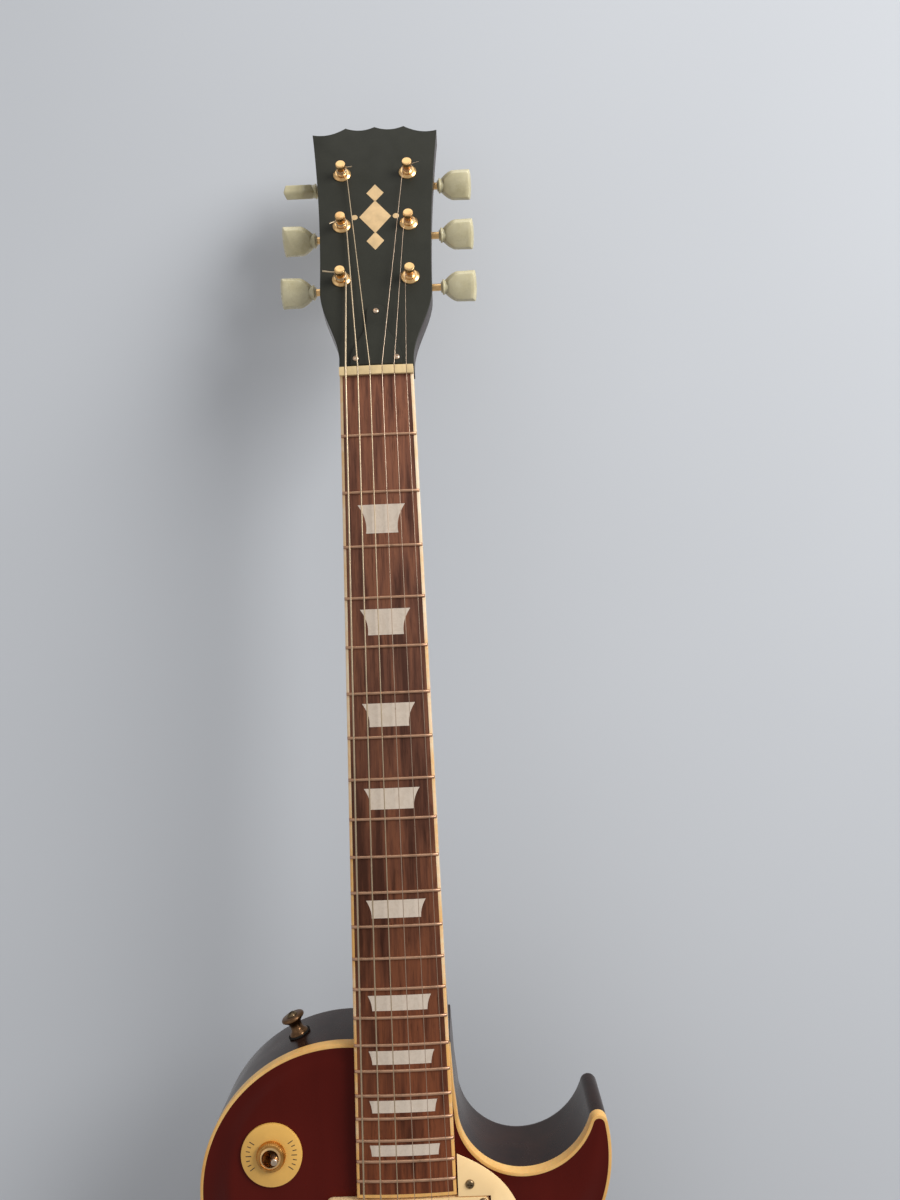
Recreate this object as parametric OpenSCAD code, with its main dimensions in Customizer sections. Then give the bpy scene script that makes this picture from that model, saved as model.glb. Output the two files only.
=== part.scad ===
// Solid-body electric guitar with a carved single-cutaway body, a glued-in neck,
// two covered pickups and six geared tuners. Millimetres, +Z up, hung by its head.
// The origin is on the centre line at the front edge of the nut, on the fretboard face.
// -Y is the front, where the strings are. Bass strings are on the -X side.

/* [Neck and fretboard] */
// Open string length from the nut to the saddles
scale_length = 628; // [620:1:636]
// Width of the nut and of the fretboard there
nut_width = 43; // [42:0.5:45]
// Thickness of the nut along the strings
nut_thick = 5; // [4.5:0.25:6]
// Fretboard width at the last fret
last_width = 55; // [53:0.5:57]
// Fretboard thickness on the centre line
board_thick = 6; // [5.5:0.25:6.5]
// Crown radius of the fretboard face
board_radius = 305; // [250:5:400]
// Fretboard length past the last fret
board_tail = 9; // [7:0.5:9.5]
// Width of the cream strip along the fretboard
board_strip = 1.7; // [1.2:0.1:2.2]
// Slope of the neck to the body
neck_angle = 4; // [3.5:0.25:4.25]
// Depth of the neck wood at the nut
neck_depth = 14.5; // [14:0.5:16]
// Depth of the neck wood at the twelfth fret
neck_depth_mid = 17.5; // [16:0.5:19]
// Depth of the heel where the neck meets the body
heel_depth = 33; // [30:1:36]
// Width of the tenon inside the body
tenon_width = 38; // [32:1:40]
// Depth of the tenon below the fretboard
tenon_depth = 28; // [24:1:30]
// Width of a fret crown
fret_width = 2.4; // [2:0.1:2.8]
// Height of a fret crown over the board
fret_height = 1.1; // [0.9:0.05:1.3]
// Share of the fret space that an inlay fills along the neck
inlay_share = 0.53; // [0.4:0.01:0.62]
// Depth of the inlay plates
inlay_depth = 2.2; // [2:0.1:2.6]

/* [Head] */
// Angle of the head behind the neck
head_angle = 17; // [15:0.5:18]
// Length from the nut to the top corners
head_length = 182; // [178:1:188]
// Thickness with the face veneer
head_thick = 14; // [13:0.5:15]
// Thickness of the black face veneer
veneer_thick = 1.5; // [1:0.1:2]
// Half width across the tuners
head_half = 34; // [33:0.5:35]
// Half width at the top corners
head_top_half = 40.6; // [39:0.2:42]
// Drop of the head face behind the fretboard face at the nut
head_drop = 3; // [2.5:0.25:3.5]
// Height of the middle points of the scalloped top over its corners
head_crest = 4.6; // [3:0.2:6]

/* [Tuners] */
// Distance of the posts from the centre line
tuner_x = 21; // [20:0.25:22]
// Distance of the lowest posts from the nut
tuner_first = 64.6; // [62:0.2:67]
// Distance between posts along the head
tuner_pitch = 41.2; // [40:0.2:42]
// Radius of the posts in the bushings
post_r = 3; // [2.8:0.05:3.2]
// Radius of the post waist that the string winds on
waist_r = 2.4; // [2.2:0.05:2.6]
// Height of the post over the head face
post_top = 9; // [8.7:0.1:9.6]
// Distance from a post axis to its key axis
worm_offset = 7.5; // [7.2:0.1:8]
// Depth of the key axis behind the back of the head
key_depth = 6; // [5.8:0.1:6.4]
// Distance of the button's inner end from the post axis
button_start = 21; // [20.5:0.25:22]
// Length of a button
button_length = 20; // [18.5:0.5:21.5]
// Half width of a button's face
button_half = 9.3; // [8.8:0.1:9.8]
// Thickness of a button
button_thick = 8.6; // [7:0.2:9.4]

/* [Body] */
// Length of the body below the neck joint
body_length = 437; // [430:1:444]
// Thickness of the body at the rim
body_thick = 48; // [46:0.5:50]
// Half width of the bass shoulder
upper_half = 118; // [116:0.5:120]
// Radius of the bass shoulder
upper_r = 84.5; // [83:0.5:86.5]
// How far the top of the bass shoulder lies below the neck joint
upper_drop = 2.3; // [1.5:0.1:3]
// Half width of the lower bout
lower_half = 165; // [162:0.5:168]
// Radius of the lower bout
lower_r = 123; // [121:0.5:124]
// How far the bottom bows out below the circles of the lower bout
bottom_bow = 5; // [4:0.25:7]
// Radius of the bass waist
waist_bass_r = 100; // [92:1:110]
// Radius of the treble waist
waist_treble_r = 135; // [125:1:145]
// Half width at the horn
horn_half = 115.5; // [114:0.25:117]
// Radius of the horn's outer side
horn_r = 85; // [81:1:89]
// Height of the horn's widest point
horn_z = -68; // [-70:0.5:-66]
// Radius of the horn tip
tip_r = 5; // [4.5:0.1:5.5]
// Distance of the cutaway's lowest point from the centre line
cut_x = 65.5; // [64:0.25:67]
// Height of the cutaway's lowest point
cut_z = -79; // [-80.4:0.2:-78]
// Radius of the cutaway towards the horn
cut_r = 41; // [39.5:0.5:43]
// Radius of the cutaway towards the neck
cut_neck_r = 36; // [35:0.25:36.5]
// Rise of the carved top over the rim
carve_rise = 12; // [11:0.25:13]
// Thickness of the top at the rim, and height of its binding
cap_thick = 6; // [5:0.25:7]
// Width of the binding
bind_width = 1.8; // [1.4:0.1:2.4]
// Rounding of the back edge
back_round = 4.5; // [2:0.25:6]

/* [Pickups] */
// Distance of the neck pickup's centre below the neck joint
neck_pickup_at = 106.6; // [105.6:0.2:108]
// Distance of the bridge pickup's centre below the neck joint
bridge_pickup_at = 203.6; // [201:0.5:206]
// Length of a pickup cover
cover_length = 70; // [68:0.5:71]
// Width of a pickup cover
cover_width = 38; // [36.5:0.25:38.5]
// Height of a pickup cover
cover_height = 16; // [15:0.5:17]
// Wall of a pickup cover
cover_wall = 0.8; // [0.6:0.1:1]
// Length of a pickup ring
ring_length = 91; // [90:0.25:92]
// Width of a pickup ring
ring_width = 46; // [44.5:0.25:46]
// Height of the neck pickup ring
ring_height = 5; // [4:0.25:5.5]
// Room between a pickup cover and its ring
ring_gap = 0.8; // [0.5:0.1:1]
// Distance from the strings to a pickup cover
string_gap = 3.2; // [2.8:0.1:4]

/* [Bridge, tailpiece and strings] */
// Spread of the outer strings at the nut
nut_spread = 35.2; // [34:0.2:36]
// Spread of the outer strings at the bridge
bridge_spread = 50.4; // [49:0.2:52]
// String height over the board at the nut
nut_action = 1.6; // [1.4:0.05:1.9]
// String height over the extended board plane at the saddles
bridge_action = 4.5; // [4:0.1:5]
// Distance between the bridge posts
bridge_post_span = 74; // [73:0.25:76]
// Width of the bridge bar along the strings
bridge_width = 12; // [11.5:0.25:13]
// Slant of the bridge
bridge_slant = 3; // [1:0.25:4]
// Distance from the bridge to the tailpiece
tail_offset = 43; // [40:0.5:48]
// Distance between the tailpiece studs
tail_stud_span = 82; // [80:0.5:84]
// Gap between neighbouring turns of a winding
turn_gap = 0.5; // [0.45:0.05:0.6]

/* [Controls] */
// Distance of the selector switch from the centre line
switch_x = -75; // [-78:0.5:-72]
// Distance of the selector switch below the neck joint
switch_at = 59.4; // [56:0.2:62]
// Diameter of the round plate under the selector
plate_d = 34.3; // [32:0.1:36]
// Radius of the selector's threaded sleeve
sleeve_r = 6; // [5.6:0.1:6.4]
// Radius of a knob skirt
knob_r = 12.7; // [11:0.1:13.4]
// Height of a knob
knob_height = 15; // [13:0.25:17]
// Radius of a knob shaft
shaft_r = 3; // [2.6:0.1:3.2]
// First knob in from the widest point of the lower bout
knob_inset = 87; // [84:0.5:90]
// First knob above the bottom of the body
knob_rise = 175; // [171:0.5:179]
// Second knob outward of the first
knob_out = 46; // [44:0.5:48]
// Second knob below the first
knob_down = 38; // [36:0.5:40]
// Second row of knobs in from the first
row_in = 8; // [6:0.5:10]
// Second row of knobs below the first
row_down = 64; // [62:0.5:66]
// Direction round the lower bout of the output socket
jack_angle = -38; // [-42:0.5:-34]
// Direction round the shoulder of the upper strap button
strap_angle = 110; // [105:0.5:116]
// Depth of strap buttons and output socket behind the rim
side_depth = 25; // [23:0.25:27]
// Bore radius of the output socket
jack_r = 3.25; // [3.2:0.01:3.3]

/* [Pickguard] */
// Thickness of the pickguard
guard_thick = 2.4; // [2:0.1:2.8]
// Distance of the pickguard's face behind the fretboard plane
guard_drop = 1; // [0.6:0.1:1.3]
// Distance of the pickguard's outer edge from the centre line
guard_reach = 74; // [71:0.5:76]

/* [Hidden] */
$fn = 48;
fit = 0.05;
FRETS = 22;
STRINGS = 6;
INLAY_FRETS = [3, 5, 7, 9, 12, 15, 17, 19, 21];
STRING_R = [0.585, 0.46, 0.33, 0.215, 0.165, 0.13];
JOIN_FRET = 16;

// Plain functions
function mix(a, b, k) = a + (b - a) * k;
function clamp01(k) = max(0, min(1, k));
function smooth(k) = let (c = clamp01(k)) c * c * (3 - 2 * c);
function signed_pow(c, e) = sign(c) * pow(abs(c), e);
function unit(v) = v / norm(v);
function arc(c, r, a0, a1, n) =
  [for (i = [0 : n - 1]) let (a = a0 + (a1 - a0) * i / n) [c[0] + r * cos(a), c[1] + r * sin(a)]];
function heading(a, b) = atan2(b[1] - a[1], b[0] - a[0]);
// Corner of a triangle on the side a-b with the other two sides given
function apex(a, b, da, db, side) = let (d = norm(b - a), u = (b - a) / d,
  t = (da * da - db * db + d * d) / (2 * d), h = sqrt(da * da - t * t))
  a + t * u + side * h * [-u[1], u[0]];
// Outline of a box with round corners about the origin
function round_box(w, h, r, n = 6) = [for (q = [0 : 3]) each
  [for (i = [0 : n]) let (a = 90 * q + 90 * i / n, sx = (q == 0 || q == 3) ? 1 : -1, sy = q < 2 ? 1 : -1)
    [sx * (w / 2 - r) + r * cos(a), sy * (h / 2 - r) + r * sin(a)]]];
// Outline at the distance r round a convex polygon that runs counterclockwise
function round_poly(p, r, n = 8) = [for (i = [0 : len(p) - 1]) let (k = len(p),
  a0 = heading(p[(i + k - 1) % k], p[i]) - 90, a1 = heading(p[i], p[(i + 1) % k]) - 90,
  turn = a1 - a0 < 0 ? a1 - a0 + 360 : a1 - a0)
  each [for (j = [0 : n]) p[i] + r * [cos(a0 + turn * j / n), sin(a0 + turn * j / n)]]];

// Fret places and widths along the neck
function fret_at(n) = scale_length * (1 - pow(2, -n / 12));
board_end = fret_at(FRETS) + board_tail;
join_at = fret_at(JOIN_FRET);
function board_half(s) = nut_width / 2 + (last_width - nut_width) / 2 * s / fret_at(FRETS);
function crown(x) = board_radius - sqrt(board_radius * board_radius - x * x);

// Frames of the neck, the head and the body
rim_lift = 1;
rim_y = board_thick * cos(neck_angle) - join_at * sin(neck_angle) + rim_lift;
rim_z = -join_at * cos(neck_angle);
module in_neck() rotate([-neck_angle, 0, 0]) children();
module in_head() in_neck() translate([0, head_drop, nut_thick]) rotate([-head_angle, 0, 0]) children();
module in_body() translate([0, rim_y, rim_z]) children();
function neck_to_body(p) = [p[0], p[1] * cos(neck_angle) + p[2] * sin(neck_angle) - rim_y,
  -p[1] * sin(neck_angle) + p[2] * cos(neck_angle) - rim_z];
function body_to_neck(p) = let (y = p[1] + rim_y, z = p[2] + rim_z)
  [p[0], y * cos(neck_angle) - z * sin(neck_angle), y * sin(neck_angle) + z * cos(neck_angle)];
function neck_to_head(p) = let (y = p[1] - head_drop, z = p[2] - nut_thick)
  [p[0], y * cos(head_angle) - z * sin(head_angle), y * sin(head_angle) + z * cos(head_angle)];
function head_to_neck(p) = [p[0], p[1] * cos(head_angle) + p[2] * sin(head_angle) + head_drop,
  -p[1] * sin(head_angle) + p[2] * cos(head_angle) + nut_thick];
// Place along the neck of a height below the neck joint
function along(z) = join_at + z / cos(neck_angle);

// Body outline as a chain of tangent arcs, inset by d
bass_c = [upper_r - upper_half, -upper_drop - upper_r];
lower_rise = lower_r + bottom_bow;
low_b = [lower_r - lower_half, lower_rise - body_length];
low_t = [lower_half - lower_r, low_b[1]];
bottom_r = (pow(low_t[0], 2) + lower_rise * lower_rise - lower_r * lower_r) / (2 * bottom_bow);
bottom_c = [0, bottom_r - body_length];
waist_b = apex(bass_c, low_b, upper_r + waist_bass_r, lower_r + waist_bass_r, -1);
horn_c = [horn_half - horn_r, horn_z];
waist_t = apex(horn_c, low_t, horn_r + waist_treble_r, lower_r + waist_treble_r, 1);
cut_c = [cut_x, cut_z + cut_r];
cut_neck_c = [cut_x, cut_z + cut_neck_r];
tip_c = apex(horn_c, cut_c, horn_r - tip_r, cut_r + tip_r, -1);
edge_x = board_half(board_end) + 0.9;
edge_z = bass_c[1] + sqrt(upper_r * upper_r - pow(edge_x + bass_c[0], 2));
turn_1 = heading(bass_c, waist_b) + 360;
turn_2 = heading(waist_b, low_b);
turn_3 = heading(bottom_c, low_b) + 360;
turn_5 = heading(low_t, waist_t) + 360;
turn_6 = heading(waist_t, horn_c);
turn_7 = heading(horn_c, tip_c);
turn_8 = heading(tip_c, cut_c);
function outline(d) = concat(
  arc(bass_c, upper_r - d, asin((edge_z - d - bass_c[1]) / (upper_r - d)), turn_1, 20),
  arc(waist_b, waist_bass_r + d, turn_1 - 180, turn_2, 10),
  arc(low_b, lower_r - d, turn_2 + 180, turn_3, 20),
  arc(bottom_c, bottom_r - d, turn_3, 540 - turn_3, 6),
  arc(low_t, lower_r - d, 540 - turn_3, turn_5, 20),
  arc(waist_t, waist_treble_r + d, turn_5 - 180, turn_6, 10),
  arc(horn_c, horn_r - d, turn_6 - 180, turn_7, 6),
  arc(tip_c, tip_r - d, turn_7, turn_8, 7),
  arc(cut_c, cut_r + d, turn_8 - 180, -90, 9),
  arc(cut_neck_c, cut_neck_r + d, -90, -180, 10),
  [[edge_x - d, cut_neck_c[1] + 14], [edge_x - d, edge_z - d]]);

// Height of the carved top over the rim
carve_c = [22, -330];
cut_mid = [cut_x - 3, cut_z + 20];
rim_in = outline(bind_width);
function carve_width(p) = let (w = mix(40, 72, smooth((-p[1] - 100) / 150)))
  mix(w, 22, exp(-pow(norm(p - cut_mid) / 45, 2)));
function neck_plane(z) = rim_lift - board_thick * (1 / cos(neck_angle) - cos(neck_angle))
  - z * tan(neck_angle);
function soft_min(a, b) = a <= 0 ? 0 : pow(pow(a, -12) + pow(b, -12), -1 / 12);
function carve(d, w, z) = soft_min(carve_rise * smooth(d / w), neck_plane(z));
function top_at(p) = let (v = p - carve_c, n = len(rim_in),
  k = max([for (i = [0 : n - 1]) let (a = rim_in[i] - carve_c, e = rim_in[(i + 1) % n] - rim_in[i],
    q = cross(v, e), m = q == 0 ? -1 : cross(a, v) / q) (m >= 0 && m <= 1) ? cross(a, e) / q : 0]))
  carve((k - 1) * norm(v), carve_width(carve_c + k * v), p[1]);

// Solid through equal rings, the last ring towards the viewer who sees them run counterclockwise
function loft_faces(n, m) = concat(
  [for (k = [0 : m - 2]) for (i = [0 : n - 1]) [k * n + i, (k + 1) * n + i, (k + 1) * n + (i + 1) % n]],
  [for (k = [0 : m - 2]) for (i = [0 : n - 1]) [k * n + i, (k + 1) * n + (i + 1) % n, k * n + (i + 1) % n]],
  [for (i = [0 : n - 1]) [m * n, i, (i + 1) % n]],
  [for (i = [0 : n - 1]) [m * n + 1, (m - 1) * n + (i + 1) % n, (m - 1) * n + i]]);
module loft(rings, c0, c1) polyhedron(
  points = concat([for (r = rings) each r], [c0, c1]), faces = loft_faces(len(rings[0]), len(rings)));
// Plate of a flat outline given as x and z, between two depths
module plate(p, y0, y1) translate([0, y1, 0]) rotate([90, 0, 0]) linear_extrude(y1 - y0) polygon(p);
// Round bar along the depth axis
module bar(r, y0, y1) translate([0, y1, 0]) rotate([90, 0, 0]) cylinder(r = r, h = y1 - y0);
// Turned shape whose profile is radius and height towards the front
module turned(p) rotate([90, 0, 0]) rotate_extrude() polygon(p);
// Box between two corners
module block(a, b) translate(a) cube(b - a);

// Body pieces
tenon_start = join_at - 12;
shelf_depth = 3;
module tenon_shape(s0, play = 0) {
  block([-tenon_width / 2, board_thick, -board_end], [tenon_width / 2, board_thick + tenon_depth, -s0]);
  plate([[play - board_half(board_end), -board_end], [board_half(board_end) - play, -board_end],
    [board_half(s0) - play, -s0], [play - board_half(s0), -s0]], board_thick, board_thick + shelf_depth);
}
knob_first = [lower_half - knob_inset, knob_rise - body_length];
knob_row = knob_first - [row_in, row_down];
knob_p = [knob_first, knob_first + [knob_out, -knob_down], knob_row, knob_row + [knob_out, -knob_down]];
cavity_p = [knob_p[2], knob_p[3], knob_p[1], knob_p[0]];
cavity_r = 21;
cavity_floor = 3;
cover_thick = 2.4;
cover_lip = 5;
switch_p = [switch_x, -switch_at];
switch_cavity_r = 21;
// Screw places on the back covers
function corner_out(i) = let (m = (cavity_p[0] + cavity_p[2]) / 2)
  cavity_p[i] + unit(cavity_p[i] - m) * (cavity_r + 2);
control_screw_p = [for (i = [0 : 3]) corner_out(i)];
switch_screw_p = [for (a = [90, 210, 330]) switch_p + (switch_cavity_r + 2.2) * [cos(a), sin(a)]];
leg_length = 86;
rout_depth = 24;
module pickup_rout(top) {
  block([-cover_length / 2 - 2, top, -cover_width / 2 - 1.6],
    [cover_length / 2 + 2, rout_depth, cover_width / 2 + 1.6]);
  block([-leg_length / 2 - 1, top, -8], [leg_length / 2 + 1, rout_depth, 8]);
}
neck_pickup_s = along(neck_pickup_at);
bridge_pickup_s = along(bridge_pickup_at);
module at_neck_pickup() in_neck() translate([0, board_thick, -neck_pickup_s]) children();
bridge_base = body_to_neck([0, -carve_rise, -bridge_pickup_at]);
module at_bridge_pickup() in_neck() translate([0, bridge_base[1], bridge_base[2]]) children();
module at_jack() in_body() translate([low_t[0], side_depth, low_t[1]]) rotate([0, -jack_angle, 0]) children();
module at_switch() in_neck() translate([switch_x, board_thick, -along(switch_at)]) children();
module at_strap(upper) {
  if (upper) in_body() translate([bass_c[0], side_depth, bass_c[1]]) rotate([0, -strap_angle, 0])
    translate([upper_r, 0, 0]) rotate([0, 90, 0]) children();
  else in_body() translate([0, side_depth, -body_length]) rotate([0, 180, 0]) children();
}
bridge_s = scale_length + 1.5;
bridge_z = neck_to_body([0, 0, -bridge_s])[2];
tail_z = bridge_z - tail_offset;
module at_bridge() in_body() translate([0, 0, bridge_z]) rotate([0, -bridge_slant, 0]) children();
post_hole_r = 2.9;
stud_r = 3.4;
stud_sink = 18;
jack_barrel_r = 4.8;
screw_r = 1.5;
module body_holes() {
  in_neck() tenon_shape(join_at - 40);
  at_neck_pickup() pickup_rout(-20);
  at_bridge_pickup() pickup_rout(-20);
  in_body() plate(round_poly(cavity_p, cavity_r), cavity_floor, body_thick + 1);
  in_body() plate(round_poly(cavity_p, cavity_r + cover_lip), body_thick - cover_thick, body_thick + 1);
  in_body() for (p = knob_p) translate([p[0], 0, p[1]]) bar(4.8, -30, cavity_floor + 1);
  in_body() translate([switch_p[0], 0, switch_p[1]]) bar(switch_cavity_r, cap_thick, body_thick + 1);
  in_body() translate([switch_p[0], 0, switch_p[1]])
    bar(switch_cavity_r + cover_lip, body_thick - cover_thick, body_thick + 1);
  at_switch() bar(sleeve_r, -20, 30);
  at_bridge() for (k = [-1, 1]) translate([k * bridge_post_span / 2, 0, 0]) bar(post_hole_r, -30, stud_sink);
  in_body() for (k = [-1, 1]) translate([k * tail_stud_span / 2, 0, tail_z]) bar(stud_r, -30, stud_sink);
  at_jack() translate([lower_r - 62, 0, 0]) rotate([0, 90, 0]) cylinder(r = 9.5, h = 70);
  trim_screw_holes();
  cover_screw_holes();
}
module body_back() color([0.16, 0.06, 0.05]) difference() {
  round_r = min(back_round, tip_r - 0.3);
  rings = concat([for (j = [0 : 4]) let (a = 90 * j / 4, y = body_thick - round_r * (1 - cos(a)))
    [for (p = outline(round_r * (1 - sin(a)))) [p[0], y, p[1]]]],
    [[for (p = outline(0)) [p[0], cap_thick, p[1]]]]);
  in_body() loft(rings, [carve_c[0], body_thick, carve_c[1]], [carve_c[0], cap_thick, carve_c[1]]);
  body_holes();
}
CARVE_STEPS = [0.1, 0.22, 0.36, 0.5, 0.64, 0.78, 0.9, 1];
module body_top() color([0.3, 0.07, 0.07]) difference() {
  edge = [for (p = rim_in) [p[0], 0, p[1]]];
  slope = [for (f = CARVE_STEPS) [for (p = rim_in) let (w = carve_width(p), q = p + unit(carve_c - p) * w * f)
    [q[0], -carve(w * f, w, q[1]), q[1]]]];
  flat = [for (f = [0.3, 0.65]) [for (p = rim_in) let (w = carve_width(p), e = p + unit(carve_c - p) * w,
    q = mix(e, carve_c, f)) [q[0], -carve(w, w, q[1]), q[1]]]];
  in_body() loft(concat([[for (p = rim_in) [p[0], cap_thick, p[1]]], edge], slope, flat),
    [carve_c[0], cap_thick, carve_c[1]], [carve_c[0], -carve(99, 72, carve_c[1]), carve_c[1]]);
  body_holes();
}
module body_binding() color([0.9, 0.7, 0.42]) difference() {
  in_body() plate(outline(0), 0, cap_thick);
  in_body() plate(rim_in, -1, cap_thick + 1);
  in_neck() tenon_shape(join_at - 40);
  in_body() block([1.5 - edge_x, -1, -4], [edge_x - 1.5, cap_thick + 1, edge_z + 1]);
  trim_screw_holes();
}
module control_cover() color([0.05, 0.05, 0.05]) difference() {
  in_body() plate(round_poly(cavity_p, cavity_r + cover_lip - 0.15), body_thick - cover_thick, body_thick);
  cover_screw_holes();
}
module switch_cover() color([0.05, 0.05, 0.05]) difference() {
  in_body() translate([switch_p[0], 0, switch_p[1]])
    bar(switch_cavity_r + cover_lip - 0.15, body_thick - cover_thick, body_thick);
  cover_screw_holes();
}

// Neck, head and fretboard
function neck_depth_at(s) = let (d = mix(neck_depth, neck_depth_mid, s / fret_at(12)))
  mix(d, heel_depth, smooth((s - join_at + 54) / 48));
function neck_ring_points(w, d, e, y0, oy, oz, tilt) = [for (i = [0 : 20]) let (a = 9 * i,
  y = y0 + d * signed_pow(sin(a), e)) [w * signed_pow(cos(a), e), oy + y * cos(tilt), oz - y * sin(tilt)]];
function neck_section(s) = neck_ring_points(board_half(s), neck_depth_at(s),
  mix(0.88, 0.4, smooth((s - join_at + 50) / 46)), board_thick, 0, -s, 0);
FLARE = 56;
function head_half_at(v) = v < FLARE ? mix(nut_width / 2 + 0.4, head_half, smooth((v - 6) / (FLARE - 6)))
  : head_half + (head_top_half - head_half) * pow((v - FLARE) / (head_length - FLARE), 2);
// Ring of the bend from the neck to the head
function bend_ring(k) = let (v = 36 * k, t = head_angle * smooth(k * 1.2),
  back = mix(board_thick + neck_depth - head_drop, head_thick - 0.4, smooth(k)))
  neck_ring_points(head_half_at(v) - 0.3, back - veneer_thick, mix(0.88, 0.3, k), veneer_thick,
    head_drop + v * sin(head_angle), nut_thick + v * cos(head_angle), t);
function scallop(a, b, sag, n = 8) = [for (i = [0 : n - 1]) let (k = i / n)
  mix(a, b, k) - [0, 4 * sag * k * (1 - k)]];
CREST_X = 19;
head_side = [for (i = [0 : 24]) let (v = head_length * i / 24) [head_half_at(v), v]];
crest = head_length + head_crest;
head_points = concat(
  [for (i = [0 : 23]) head_side[i]],
  scallop([head_top_half, head_length], [CREST_X, crest], 2.7),
  scallop([CREST_X, crest], [0, crest + 0.2], 2.4),
  scallop([0, crest + 0.2], [-CREST_X, crest], 2.4),
  scallop([-CREST_X, crest], [-head_top_half, head_length], 2.7),
  [for (i = [24 : -1 : 0]) [-head_side[i][0], head_side[i][1]]]);
// Posts by string, the bass string first: side of the head, and row from the nut
function side_of(i) = i < STRINGS / 2 ? -1 : 1;
function row_of(i) = i < STRINGS / 2 ? i : STRINGS - 1 - i;
function post_at(i) = [side_of(i) * tuner_x, tuner_first + row_of(i) * tuner_pitch];
bush_r = 4.4;
module post_bores() for (i = [0 : STRINGS - 1]) translate([post_at(i)[0], 0, post_at(i)[1]])
  bar(bush_r, -1, head_thick + 5);
rod_y = board_thick + 6;
rod_r = 3;
module rod_pocket() {
  in_neck() block([-rod_r - fit, board_thick - 1, -join_at],
    [rod_r + fit, rod_y + rod_r + fit, nut_thick + 2]);
  in_head() block([-5.5, -1, 0.6], [5.5, 10.5, 27]);
}
BEND = [0.12, 0.28, 0.45, 0.62, 0.8, 1];
module neck() color([0.13, 0.05, 0.04]) difference() {
  union() {
    difference() {
      in_neck() loft(concat(
        [for (s = [join_at + 9 : -9 : join_at - 64]) neck_section(s)],
        [for (s = [290, 200, 110, 45, 0]) neck_section(s)],
        [for (k = BEND) bend_ring(k)]),
        [0, board_thick + 10, -join_at - 9], head_to_neck([0, head_thick / 2, 36]));
      in_body() block([-60, -60, -40], [60, 60, edge_z]);
    }
    in_neck() tenon_shape(tenon_start, fit);
    in_head() plate(head_points, veneer_thick, head_thick);
  }
  in_neck() block([-nut_width, -20, 0], [nut_width, board_thick, nut_thick]);
  in_head() block([-nut_width, -20, -20], [nut_width, veneer_thick, 8]);
  in_head() post_bores();
  rod_pocket();
  trim_screw_holes();
}
module head_veneer() color([0.06, 0.06, 0.055]) difference() {
  in_head() plate(head_points, 0, veneer_thick);
  in_neck() block([-nut_width, -20, -5], [nut_width, board_thick, nut_thick]);
  in_head() post_bores();
  rod_pocket();
  head_inlay_shape(veneer_thick - 0.4);
  trim_screw_holes();
}
// Three stacked lozenges and two drops beside them
module head_inlay_shape(depth) in_head() {
  for (k = [-1, 0, 1]) let (c = 112 + k * 19, w = k == 0 ? 10 : 5.5, h = k == 0 ? 13 : 7)
    plate([[0, c - h], [w, c], [0, c + h], [-w, c]], 0, depth);
  for (k = [-1, 1]) translate([k * 13, 0, 112]) bar(2, 0, depth);
}
module head_inlay() color([0.86, 0.66, 0.3]) head_inlay_shape(veneer_thick - 0.4);
module truss_rod() color([0.7, 0.6, 0.4]) in_neck() {
  translate([0, rod_y, 10 - join_at]) cylinder(r = rod_r, h = join_at - 10 + nut_thick + 3);
  translate([0, rod_y, nut_thick + 3]) cylinder(r = 3.8, h = 7, $fn = 6);
}
COVER_TOP = 38;
bell_side = [for (i = [0 : 12]) let (v = mix(1.2, COVER_TOP - 2, i / 12))
  [5.9 + 9.3 * (1 - smooth((v - 6) / 25)), v]];
bell = concat(bell_side, arc([0, COVER_TOP], 5.8, 0, 180, 10),
  [for (i = [12 : -1 : 0]) [-bell_side[i][0], bell_side[i][1]]]);
TRUSS_SCREWS = [[0, 38.8], [12, 5.7], [-12, 5.7]];
module truss_cover() color([0.04, 0.04, 0.04]) difference() {
  in_head() plate(bell, -2, 0);
  trim_screw_holes();
}

// Strings, from the ball end in the tailpiece to the winding on the post
function string_frac(i) = i / (STRINGS - 1) - 0.5;
function nut_point(i) = let (x = nut_spread * string_frac(i)) [x, crown(x) - nut_action - STRING_R[i], 0];
function saddle_s(i) = bridge_s - bridge_spread * string_frac(i) * tan(bridge_slant);
function saddle_point(i) = let (x = bridge_spread * string_frac(i))
  [x, crown(x) - bridge_action - STRING_R[i], -saddle_s(i)];
tail_hole_y = -carve_rise - 9.2;
tail_half = 5;
function ball_point(i) = body_to_neck([bridge_spread * string_frac(i), tail_hole_y, tail_z - 2]);
function tail_point(i) = body_to_neck([bridge_spread * string_frac(i), tail_hole_y, tail_z + tail_half + 1]);
wind_gap = 0.3;
wind_start = 2.7;
function turns(i) = STRING_R[i] > 0.3 ? 1.5 : 2.5;
function pitch(i) = 2 * STRING_R[i] + turn_gap;
function nut_back(i) = nut_point(i) + [0, 0, nut_thick];
// Angle round the post at which the string meets its winding
function wind_from(i) = let (q = neck_to_head(nut_back(i)), p = post_at(i),
  r = waist_r + wind_gap + STRING_R[i],
  v = [q[0] - p[0], q[2] - p[1]]) atan2(v[1], v[0]) - side_of(i) * acos(r / norm(v));
function wind_point(i, k) = let (p = post_at(i), r = waist_r + wind_gap + STRING_R[i],
  a = wind_from(i) - side_of(i) * 360 * turns(i) * k)
  head_to_neck([p[0] + r * cos(a), -wind_start - pitch(i) * turns(i) * k, p[1] + r * sin(a)]);
function winding(i) = let (n = 24 * turns(i)) [for (k = [0 : n]) wind_point(i, k / n)];
function string_path(i) = let (w = winding(i), n = len(w))
  concat([ball_point(i), tail_point(i), saddle_point(i), nut_point(i), nut_back(i)], w,
    [w[n - 1] + unit(w[n - 1] - w[n - 2]) * 2 * STRING_R[i]]);
front = [0, -cos(head_angle), sin(head_angle)];
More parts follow.
